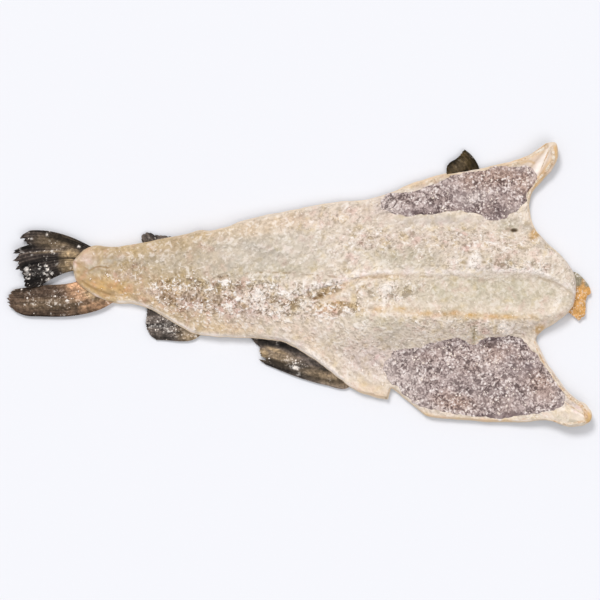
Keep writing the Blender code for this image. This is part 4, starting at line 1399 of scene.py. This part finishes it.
def number(name, description, default, low=0.0, **limits):
    return bpy.props.FloatProperty(name=name, description=description, default=default, min=low, **limits)


def cell_size(name, description, default, low, high):
    return number(name, description, default, low, max=high, unit="LENGTH", precision=5)


class CodColours(bpy.types.PropertyGroup):
    """Colours of the dried fish."""

    flesh: paint("Flesh", "Bare cured flesh", 230, 214, 197)
    tan: paint("Tan flesh", "Tanner flesh towards the tail", 199, 175, 141)
    grey_back: paint("Grey flesh", "Greyer, smoother flesh of the loins", 198, 187, 172)
    trough: paint("Trough", "Greenish cream where the backbone was", 203, 192, 170)
    blush: paint("Blush", "Pinkish stains in the flesh", 226, 202, 190)
    amber: paint("Amber", "Thin translucent edges and fat", 214, 176, 124)
    # Pale dried rims and cut lip, partly painted highlight.
    pale_rim_and_highlight: paint("Pale rim and highlight", "Pale dried rims", 252, 240, 231)
    # A yellow-brown stain, with painted shade in the clefts, hollows and sunk folds.
    crevice_stain_and_shade: paint("Crevice stain and shade", "Yellow-brown clefts under the cut", 160, 128, 86)
    # Painted shade inside the small holes.
    hole_shade: paint("Hole shade", "Deep small holes in the flesh", 74, 60, 42)
    pink_tint: paint("Pink tint", "What pinker flesh takes from the colour", 255, 239, 241)
    yellow_tint: paint("Yellow tint", "What yellower flesh takes from the colour", 254, 246, 220)
    # Painted shade in the pits between the salt grains.
    pit_shade: paint("Pit shade", "What pits between the grains take from the colour", 178, 170, 158)
    salt: paint("Salt", "Curing salt", 255, 246, 238)
    crystal: paint("Crystals", "Loose salt crystals", 255, 243, 232)
    crystal_shade: paint("Duller crystals", "The duller salt crystals", 236, 218, 202)
    back_skin: paint("Back skin", "Olive-grey skin of the back", 92, 84, 62)
    belly_skin: paint("Belly skin", "Pale skin of the belly", 190, 176, 148)
    skin_spot: paint("Skin spots", "Dark spots on the skin", 64, 56, 40)
    # The skin's pale edge, lightened further as painted light on the rounded edge.
    lip: paint("Skin lip", "Edge of the skin where it shows past the flesh", 240, 222, 198)
    lining: paint("Lining", "Torn belly lining", 200, 180, 175)
    lining_dark: paint("Dark lining", "Darkest parts of the belly lining", 118, 98, 98)
    lining_brown: paint("Brown lining", "Brown parts of the belly lining", 190, 160, 146)
    # Painted shade in the pits of the linings' salt.
    lining_pit_shade: paint("Lining pit shade", "What pits take from the lining's colour", 132, 122, 122)
    lining_salt: paint("Lining salt", "Greyish salt caked on the linings", 246, 234, 229)
    lilac: paint("Lilac", "Where the lining thins out over the flesh", 214, 198, 192)
    bone: paint("Bone", "Collar bone", 236, 220, 198)
    gristle: paint("Gristle", "Amber gristle along the collar bones", 222, 180, 136)
    nape_dark: paint("Dark nape", "Darker, olive part of the nape's skin", 164, 154, 130)
    nape_amber: paint("Nape", "Amber skin left at the nape", 232, 174, 100)
    fin_black: paint("Black fin", "Membrane of the darkest fins", 56, 48, 44)
    fin_brown: paint("Brown fin", "Membrane of the lower tail lobe", 100, 80, 66)
    fin_grey: paint("Grey fin", "Membrane of the small fins", 98, 88, 82)
    fin_olive: paint("Olive fin", "Membrane of the pectoral fin", 50, 40, 20)
    fin_ray: paint("Fin rays", "Rays of the darkest fin", 142, 126, 114)
    fin_ray_pale: paint("Pale rays", "Rays of the paler fins", 136, 118, 100)
    fin_root: paint("Fin root", "Pinkish tan where a fin joins the body", 196, 154, 120)
    fin_tan: paint("Fin tan", "Tan patches of the fins", 168, 144, 112)


class CodSizes(bpy.types.PropertyGroup):
    """How finely the fish is made, and its salt."""

    flesh_cell: cell_size("Flesh cell", "Distance between the flesh's points", 0.00118, 0.0008, 0.01)
    skin_cell: cell_size("Skin cell", "Distance between the skin's points", 0.0024, 0.001, 0.02)
    lining_cell: cell_size("Lining cell", "Distance between the linings' points", 0.0010, 0.0007, 0.01)
    fine_salt: number("Fine salt", "Fine grains on each square metre of crust", 260000.0, max=1000000)
    coarse_salt: number("Coarse salt", "Coarse crystals on each square metre of crust", 70000.0, max=300000)


class CodStage(bpy.types.PropertyGroup):
    """Floor, light and view."""

    floor: paint("Floor", "Plain pale floor", 237, 237, 241)
    key_strength: number("Key light", "Strength of the soft main light", 1.60)
    fill_strength: number("Fill light", "Strength of the soft light from the other side", 0.66)
    sky: number("Room light", "Strength of the even light of the room", 0.55)
    tilt: number(
        "Camera tilt", "How far the camera leans from straight down", np.radians(2.0), subtype="ANGLE",
    )


# ---------------------------------------------------------------- operators

def flesh_underside(x, y):
    return underside_height(x, y, from_edge(x, y)) + 0.85 * SKIN_THICKNESS


def flesh_masks(x, y, on_top):
    to_edge, crust, trough = from_edge(x, y), salt_crust(x, y), in_trough(x, y)
    marks, clumps = backbone_marks(x, y), patches(x, y, SALT_CLUMPS)
    along, beside = strand_frame(x, y)
    patchy = np.clip(0.85 + 0.6 * layered_noise(x, y, 1.3, 41), 0, 1.2)
    blood = near_line(x, y, BLOOD_LINE, 0.5) * np.clip(0.5 + 0.9 * layered_noise(x, y, 1.1, 42), 0.1, 1)
    # A yellow band just under the cut lip, added to the amber: painted shade on the lip's lower side.
    shade_under_lip = near_line(x, y + 0.35, CUT_LIP, 0.5) * (1 - smoothstep(14, 24, x)) * 0.55
    # The cut lip's pale edge, brightened further as a painted highlight along the lip.
    pale_lip_and_highlight = near_line(x, y - 0.1, CUT_LIP, 0.6) * np.clip(0.9 + 0.6 * noise(x, y, 0.5, 44), 0, 1)
    bare = (1 - patches(x, y, BARE_PATCHES, 0.8)) * (1 - 0.15 * (1 - smoothstep(-32, -24, x)))
    salt = (0.20 + 0.80 * crust) * smoothstep(-0.001, 0.004, to_edge) * (1 - 0.25 * trough) * bare
    hue = 0.26 + 0.3 * noise(x, y, 3.0, 46) + 0.7 * crust + 0.5 * (1 - smoothstep(-34, -26, x))
    # Painted shade in the deep hollows, darker the deeper they are; it joins the brown mark.
    hollow_shade = sum(380 * depth * patches(x, y, (spot,), 0.3) for spot, depth in DEEP_HOLLOWS)
    masks = {
        "crusted": np.clip(np.maximum(patches(x, y, SALT_CRUST, 0.5) * 1.6 - 0.2, trough), 0, 1),
        "along": along * HUNDREDTH,
        "beside": beside * HUNDREDTH,
        "salt": np.where(on_top, salt, 0.1),
        "hue": np.clip(hue, 0, 1),
        "clump": clumps,
        "grains": np.clip(crust**2 * 0.8 * noise(x, y, 0.8, 47), 0, 1) + clumps,
        "tan": 1 - smoothstep(TAN_TO, TAN_FROM, x + 3 * layered_noise(x, y, 5.0, 45)),
        "grey": patches(x, y, GREY_TINTS, 0.8) * patchy,
        "green": patches(x, y, GREEN_TINTS, 0.7) * patchy,
        "blush": patches(x, y, BLUSH_TINTS, 0.8) * patchy,
        "lilac": patches(x, y, LILAC_TINTS, 0.8) * patchy,
        "amber": np.clip(patches(x, y, AMBER_TINTS) * patchy + 0.8 * blood + shade_under_lip, 0, 1),
        # pale: pale dried rims, lip and ridges, partly painted highlight on the rounded rims and the lip
        "pale": np.clip(patches(x, y, PALE_TINTS_AND_HIGHLIGHTS, 0.7) + pale_lip_and_highlight + 0.35 * np.clip(marks, 0, 1), 0, 1),
        # brown: yellow-brown stains, with painted shade in the clefts, the deep hollows and the sunk folds
        "brown": np.clip(crevices(x, y) * 0.9 + hollow_shade, 0, 1),
        # hole: painted shade inside the small holes
        "hole_shade": patches(x, y, HOLE_SHADE_PATCHES, 0.6),
        "strand": np.clip(muscle_strands(x, y) * (1 - 0.6 * trough) + 0.5 * marks, -1, 1),
    }
    saltless = masks["hole_shade"]
    for path, width, _, label, strength in STREAKS:
        streak = strength * near_path(x, y, path, 1.2 * width)
        masks[label] = np.maximum(masks[label], streak)
        if label in ("brown", "amber"):
            saltless = np.maximum(saltless, streak)
    masks["salt"] = masks["salt"] * (1 - saltless)
    return masks


def edge_amounts(loop, marks):
    """For marks given as x, y, reach and amount: the amount at each point of a line."""
    away = ((np.hypot(loop[:, 0] - x, loop[:, 1] - y), reach, amount) for x, y, reach, amount in marks)
    return sum(amount * bell(distance, reach) for distance, reach, amount in away)


class COD_OT_flesh(bpy.types.Operator):
    """Model the cured flesh with its cut, trough, strands and salt crust"""

    bl_idname = "cod.flesh"
    bl_label = "Flesh"

    def execute(self, context):
        spacing = context.scene.cod_sizes.flesh_cell / HUNDREDTH
        loop = even_loop(DRIED_OUTLINE, spacing)
        loop = ragged(loop, 0.0003 + edge_amounts(loop, SKIN_LIPS), 0.0006, 0.6, 54)
        material = flesh_material(context.scene.cod_colours)
        spacings, heights = (spacing, 12 * spacing), (flesh_top, flesh_underside)
        place(closed_slab("flesh", loop, spacings, heights, material, flesh_masks))
        return {"FINISHED"}


def skin_top(x, y):
    return underside_height(x, y, from_edge(x, y)) + SKIN_THICKNESS


def skin_underside(x, y):
    to_edge = from_edge(x, y)
    wrinkles = SKIN_WRINKLES * (1 + layered_noise(x * 0.6, y, 1.4, 53))
    wrinkles = wrinkles * smoothstep(0.002, 0.01, to_edge)
    return underside_height(x, y, to_edge) + wrinkles


def skin_masks(x, y, on_top):
    away, loin_width = from_back(x, y)
    lateral = bell(away - 0.62 * loin_width, 0.28) * smoothstep(-38, -34, x)
    to_belly = away / loin_width + 0.12 * noise(x, y, 2.0, 71)
    return {
        "belly": smoothstep(0.75, 1.35, to_belly) * smoothstep(-30, 0, x),
        "lateral": 0.75 * lateral * (0.8 + 0.2 * noise(x, y, 1.0, 72)),
        "lip": np.where(on_top, 1.0, 1 - smoothstep(0.0002, 0.0016, from_edge(x, y))),
    }


class COD_OT_skin(bpy.types.Operator):
    """Model the dried skin under the flesh, which shows as a thin lip round it"""

    bl_idname = "cod.skin"
    bl_label = "Skin"

    def execute(self, context):
        spacing = context.scene.cod_sizes.skin_cell / HUNDREDTH
        loop = even_loop(DRIED_OUTLINE, spacing / 2)
        material = skin_material(context.scene.cod_colours)
        spacings, heights = (4 * spacing, spacing), (skin_top, skin_underside)
        place(closed_slab("skin", loop, spacings, heights, material, skin_masks))
        return {"FINISHED"}


# Each lining: its outline, a seed, and its dark, brown and thin patches.
LININGS = {
    "upper_belly_lining": dict(
        outline=UPPER_LINING, seed=81,
        dark=(
            (32.0, 12.6, 4.0, 1.4, -14, 1.0), (36.0, 12.2, 3.0, 1.2, -30, 0.6),
            (20.0, 12.2, 4.0, 0.6, -4, 0.9), (18.0, 15.2, 2.6, 0.3, 14, 0.3),
            (38.6, 14.8, 0.8, 2.4, 0, 0.6), (28.0, 14.4, 6.0, 1.4, 8, 0.4),
            (16.0, 12.2, 2.0, 0.3, -20, 0.9), (33.5, 15.8, 2.5, 1.6, 0, 0.4),
            (31.6, 12.4, 3.4, 0.5, -28, 1.0),
        ),
        brown=((33.0, 18.6, 6.0, 1.6, 10, 0.9), (39.0, 17.6, 1.8, 2.2, 0, 1.0)),
        thin=(
            (13.9, 14.0, 2.6, 2.6, 0, 1.0), (29.8, 14.6, 1.7, 1.0, 10, 1.0),
            (38.8, 20.2, 3.0, 0.7, 6, 0.9), (39.9, 18.4, 0.9, 1.4, -20, 0.7),
            (37.0, 11.9, 1.6, 0.6, -30, 0.6), (24.0, 18.6, 4.0, 0.5, 20, 0.5),
        ),
    ),
    "lower_belly_lining": dict(
        outline=LOWER_LINING, seed=91,
        dark=(
            (32.6, -9.6, 2.2, 0.7, 20, 1.0), (37.6, -9.4, 2.6, 0.8, 0, 0.5),
            (20.0, -12.0, 3.0, 1.2, 0, 0.6), (38.0, -14.0, 4.0, 1.6, -20, 0.7),
            (37.2, -22.3, 9.0, 0.6, 3, 1.0), (44.3, -20.7, 2.2, 0.5, 46, 1.0),
            (16.4, -17.4, 2.4, 0.4, -40, 1.0), (29.6, -17.6, 3.0, 1.6, 0, 0.4),
            (35.0, -18.4, 6.0, 1.2, 0, 0.5), (28.6, -9.8, 1.2, 0.4, 0, 0.6),
        ),
        brown=(
            (41.6, -17.6, 2.6, 2.4, -30, 0.8), (26.0, -20.2, 3.4, 1.6, -10, 0.9),
            (31.0, -12.0, 8.0, 1.6, 0, 0.4),
        ),
        thin=(
            (14.8, -13.4, 3.0, 3.2, 0, 1.0), (18.6, -15.2, 2.6, 2.4, -30, 0.8),
            (19.6, -18.6, 2.0, 1.2, -40, 0.6), (31.4, -12.4, 1.0, 1.8, 20, 0.6),
            (22.0, -10.2, 4.0, 0.6, 14, 0.6), (43.2, -15.8, 0.8, 2.4, 34, 0.7),
            (24.5, -21.4, 3.0, 0.6, -14, 0.6), (44.8, -19.2, 0.9, 1.2, 20, 0.7),
        ),
    ),
}
# Where the lower lining's rim is smooth, with less salt on it.
SMOOTH_BAND = ((37.4, -22.5, 9.0, 0.3, 3, 0.6), (44.2, -20.7, 2.0, 0.3, 48, 0.6))


class Lining:
    """A torn lining that lies on the flesh: its ragged outline, its heights and its masks."""

    def __init__(self, spacing, outline, seed, **spots):
        self.seed, self.spots = seed, spots
        loop = even_loop(smooth_line(outline + outline[:1])[:-1], spacing)[::-1]
        self.loop = ragged(loop, *LINING_TEAR, 1.1, seed)
        self.edge = tree_of(self.loop)

    def top(self, x, y):
        over = smoothstep(0, LINING_RIM_REACH, distance_to(self.edge, x, y))
        wrinkles = LINING_WRINKLES * layered_noise(x, y, 1.5, self.seed + 3)
        crust = LINING_GRAINS * pebbles(x, y, 0.44, self.seed + 4)
        crust = crust + FINE_LINING_GRAINS * pebbles(x, y, 0.25, self.seed + 6)
        return flesh_top(x, y) + LINING_RIM + over * (LINING_HEIGHT + wrinkles + crust)

    def underside(self, x, y):
        return flesh_top(x, y) - LINING_ROOT

    def masks(self, x, y, on_top):
        patchy = np.clip(0.8 + 0.8 * layered_noise(x, y, 1.1, self.seed + 5), 0, 1.3)
        at_rim = 1 - smoothstep(0.0, 0.002, distance_to(self.edge, x, y))
        dark = patches(x, y, self.spots["dark"], 0.8) * patchy
        salt = 0.86 + 0.3 * noise(x, y, 1.6, self.seed + 1) - patches(x, y, SMOOTH_BAND) - 0.25 * dark
        brown = patches(x, y, self.spots["brown"], 0.8) + 0.25 * noise(x, y, 1.8, self.seed + 2)
        return {
            "salt": np.clip(salt, 0.2, 1),
            "dark": np.clip(dark + 0.25 * layered_noise(x, y, 2.4, self.seed) + 0.15 * at_rim + 0.06, 0, 1),
            "brown": np.clip(brown, 0, 1),
            "thin": np.clip(patches(x, y, self.spots["thin"], 0.9) * patchy, 0, 1),
            "grains": np.clip(0.45 * noise(x, y, 1.1, self.seed + 7), 0, 1) * (1 - at_rim),
        }


class COD_OT_linings(bpy.types.Operator):
    """Lay the two torn, dark belly linings on the flaps"""

    bl_idname = "cod.linings"
    bl_label = "Belly linings"

    def execute(self, context):
        spacing = context.scene.cod_sizes.lining_cell / HUNDREDTH
        spacings = (spacing, 2 * spacing)
        material = lining_material(context.scene.cod_colours)
        for name, parts in LININGS.items():
            lining = Lining(spacing, **parts)
            heights = (lining.top, lining.underside)
            piece = closed_slab(name, lining.loop, spacings, heights, material, lining.masks)
            place(piece, stands_for_solid=False)
        return {"FINISHED"}


def fin_looks(colours):
    """The materials of the fins, for each way that a fin looks: its membrane's and its rays' colour."""
    looks = {
        "black": (colours.fin_black, colours.fin_ray),
        "brown": (colours.fin_brown, colours.fin_ray_pale),
        "grey": (colours.fin_grey, colours.fin_ray_pale),
        "olive": (colours.fin_olive, colours.fin_brown),
    }
    return {look: fin_material(look, *pair, colours) for look, pair in looks.items()}


class COD_OT_fins(bpy.types.Operator):
    """Grow the fins: thin torn membranes over forked rays"""

    bl_idname = "cod.fins"
    bl_label = "Fins"

    def execute(self, context):
        looks = fin_looks(context.scene.cod_colours)
        for name, fin in FINS.items():
            material = looks[fin["look"]]
            place(fin_membrane(name, fin, material))
            place(fin_rays(name + "_rays", fin, material), stands_for_solid=False)
        return {"FINISHED"}


NAPE_CELLS = (63, 63)  # out and across
NAPE_HEIGHT, NAPE_FALL = 0.0060, 0.0020  # of its middle at the root, and how far it falls outwards
NAPE_BOW, NAPE_WAVES = 0.0010, 0.0009
NAPE_HALF, NAPE_LUMPS = 0.0017, 0.0004  # half its thickness, and the lumps of salt on that
NAPE_GRAINS = ((46.4, -2.2, 0.8, 1.6, 0, 0.8),)


class COD_OT_nape_skin(bpy.types.Operator):
    """Shape the scrap of skin that is left at the nape"""

    bl_idname = "cod.nape_skin"
    bl_label = "Nape skin"

    def execute(self, context):
        out, across = share_grid(*NAPE_CELLS)
        torn = 0.12 * (1 + layered_noise(across * 9, across * 0, 1.0, 101)) / 2
        plan = fin_plan(NAPE_SKIN, out * (1 - torn * out), across)
        x, y = plan[..., 0], plan[..., 1]
        middle = NAPE_HEIGHT - NAPE_FALL * out + NAPE_BOW * out * bowed(across)
        middle = middle + NAPE_WAVES * layered_noise(x, y, 1.0, 102)
        at_edge = np.minimum(np.minimum(across, 1 - across), 1 - out) * 9
        half = NAPE_HALF * (0.3 + 0.7 * smoothstep(0, 1, at_edge))
        half = half + NAPE_LUMPS * pebbles(x, y, 0.4, 104)
        amber = 0.8 * out + 1.4 * (0.56 - across) + 0.4 * noise(x, y, 0.9, 103)
        masks = {
            "amber": smoothstep(0.0, 0.6, amber),
            "salt": np.clip(1.3 - out * 1.7 + 0.3 * noise(x, y, 0.8, 105), 0, 1),
            "grains": patches(x, y, NAPE_GRAINS),
        }
        material = nape_material(context.scene.cod_colours)
        place(sheet("nape_skin", plan, middle, half, masks, material))
        return {"FINISHED"}


# Collar bones and gristle: points on each path, and radii in metres at its start, middle and end.
COLLAR_STRANDS = {
    "upper_collar_bone": (
        (
            ((39.2, 12.4), (39.2, 14.6), (40.2, 17.0), (42.2, 19.3), (43.5, 21.6), (43.2, 23.4)),
            (0.0008, 0.0016, 0.0022),
        ),
        (((35.0, 20.2), (38.0, 21.1), (40.4, 22.3), (42.6, 23.6)), (0.0004, 0.0010, 0.0018)),
        (((40.4, 17.4), (41.3, 19.4), (42.2, 21.6), (42.9, 23.2)), (0.0004, 0.0008, 0.0010)),
    ),
    "lower_collar_bone": (
        (
            ((40.2, -9.8), (40.9, -11.6), (43.2, -15.6), (46.0, -19.2), (48.4, -21.2), (49.0, -22.8)),
            (0.0008, 0.0013, 0.0024),
        ),
        (((38.0, -23.0), (42.0, -22.9), (45.6, -23.8), (48.6, -23.4)), (0.0005, 0.0011, 0.0018)),
        (((44.0, -19.0), (46.0, -20.6), (48.6, -22.2)), (0.0004, 0.0008, 0.0010)),
    ),
}
BONE_POINTS = 60  # along each strand
BONE_SIDES = 10


class COD_OT_collar_bones(bpy.types.Operator):
    """Run the collar bones and their gristle along the head ends of both flaps"""

    bl_idname = "cod.collar_bones"
    bl_label = "Collar bones"

    def execute(self, context):
        material = bone_material(context.scene.cod_colours)
        share = np.linspace(0, 1, BONE_POINTS)
        for name, lines in COLLAR_STRANDS.items():
            paths = []
            for line, radii in lines:
                plan = points_along(smooth_line(line), share)
                radius = np.interp(share, (0, 0.5, 1), radii)
                radius = radius * (1 + 0.25 * noise(share * 9, share * 0, 1.0, 111))
                height = flesh_top(*plan.T) - 0.45 * radius
                paths.append((np.column_stack([plan * HUNDREDTH, height]), {"radius": radius}))
            place(strands(name, paths, BONE_SIDES, material), stands_for_solid=False)
        return {"FINISHED"}


SALTED_PIECES = (
    "flesh", "upper_belly_lining", "lower_belly_lining", "upper_tail_lobe", "lower_tail_lobe",
    "second_anal_fin", "first_anal_fin", "nape_skin",
)
GRAIN_SIZES = {"fine_salt": (0.0004, 0.0009), "coarse_salt": (0.0009, 0.0019)}  # smallest, largest


class COD_OT_salt(bpy.types.Operator):
    """Scatter fine grains and coarse crystals of salt over flesh, linings and fins"""

    bl_idname = "cod.salt"
    bl_label = "Salt"

    def execute(self, context):
        material = salt_material(context.scene.cod_colours)
        for kind, (smallest, largest) in GRAIN_SIZES.items():
            density = getattr(context.scene.cod_sizes, kind)
            made = [
                grown(
                    f"{kind}_on_{bed}", upper_faces(bpy.data.objects[bed]), scatter_tree(),
                    Crystals_per_square_metre=density, Density_attribute="grains", Smallest=smallest,
                    Largest=largest, Seed=seed, Material=material,
                )
                for seed, bed in enumerate(SALTED_PIECES)
            ]
            piece = joined(kind, made, material)
            keep_in_box(piece.data)
            place(piece, stands_for_solid=False)
        return {"FINISHED"}


FLOOR_REACH = 6.0
ROOM_COLOUR = (0.97, 0.98, 1.0, 1.0)
KEY_LIGHT = ((-0.45, 0.9, 1.3), 20)  # where it comes from, and the angle that it fills in degrees
FILL_LIGHT = ((0.6, -0.9, 1.4), 40)
AIM = Vector((0.0017, -0.0177, 0.012))
CAMERA_DISTANCE = 3.2
VIEW_WIDTH = 0.66438  # how much of the floor the camera sees from side to side, in metres
SENSOR_WIDTH = 36


class COD_OT_stage(bpy.types.Operator):
    """Set the pale floor, the soft lights and the camera above the fish"""

    bl_idname = "cod.stage"
    bl_label = "Stage"

    def execute(self, context):
        scene, stage = context.scene, context.scene.cod_stage
        scene.view_settings.view_transform = "Standard"
        material, _, surface = new_material("floor", 0.9, 0.0)
        surface["Base Color"].default_value = stage.floor
        corners = FLOOR_REACH * np.array([(-1, -1, 0), (1, -1, 0), (1, 1, 0), (-1, 1, 0)])
        make_piece("floor", corners, np.array([(0, 1, 2, 3)]), material)
        scene.world = bpy.data.worlds.new("room")
        scene.world.use_nodes = True
        background = scene.world.node_tree.nodes["Background"].inputs
        background["Color"].default_value = ROOM_COLOUR
        background["Strength"].default_value = stage.sky
        soft_light("key", stage.key_strength, *KEY_LIGHT)
        soft_light("fill", stage.fill_strength, *FILL_LIGHT)
        lens = bpy.data.cameras.new("above")
        lens.sensor_width = SENSOR_WIDTH
        lens.lens = SENSOR_WIDTH * CAMERA_DISTANCE / VIEW_WIDTH
        camera = new_object("above", lens)
        camera.location = AIM + Vector((0, -np.sin(stage.tilt), np.cos(stage.tilt))) * CAMERA_DISTANCE
        camera.rotation_euler = (stage.tilt, 0, 0)
        scene.camera = camera
        return {"FINISHED"}


def soft_light(name, strength, comes_from, softness):
    """A wide, soft light from that direction; its softness is the angle it fills, in degrees."""
    lamp = bpy.data.lights.new(name, "SUN")
    lamp.energy = strength
    lamp.angle = np.radians(softness)
    made = new_object(name, lamp)
    made.rotation_euler = Vector(comes_from).to_track_quat("Z", "Y").to_euler()


class COD_PT_panel(bpy.types.Panel):
    """Lists the fish's settings and the steps that build it"""

    bl_idname = "COD_PT_panel"
    bl_label = "Salt cod"
    bl_space_type = "VIEW_3D"
    bl_region_type = "UI"
    bl_category = "Salt cod"

    def draw(self, context):
        for settings in (context.scene.cod_sizes, context.scene.cod_colours, context.scene.cod_stage):
            box = self.layout.box()
            for label in settings.__annotations__:
                box.prop(settings, label)
        for step in STEPS:
            self.layout.operator(step.bl_idname)


SETTINGS = {"cod_sizes": CodSizes, "cod_colours": CodColours, "cod_stage": CodStage}
STEPS = (
    COD_OT_stage, COD_OT_flesh, COD_OT_skin, COD_OT_linings, COD_OT_fins, COD_OT_nape_skin,
    COD_OT_collar_bones, COD_OT_salt,
)


def register():
    for made in (*SETTINGS.values(), *STEPS, COD_PT_panel):
        bpy.utils.register_class(made)
    for label, settings in SETTINGS.items():
        setattr(bpy.types.Scene, label, bpy.props.PointerProperty(type=settings))


def unregister():
    for label in SETTINGS:
        delattr(bpy.types.Scene, label)
    for made in (COD_PT_panel, *reversed(STEPS), *SETTINGS.values()):
        bpy.utils.unregister_class(made)


def main():
    register()
    for step in STEPS:
        group, name = step.bl_idname.split(".")
        getattr(getattr(bpy.ops, group), name)()


if __name__ == "__main__":
    main()
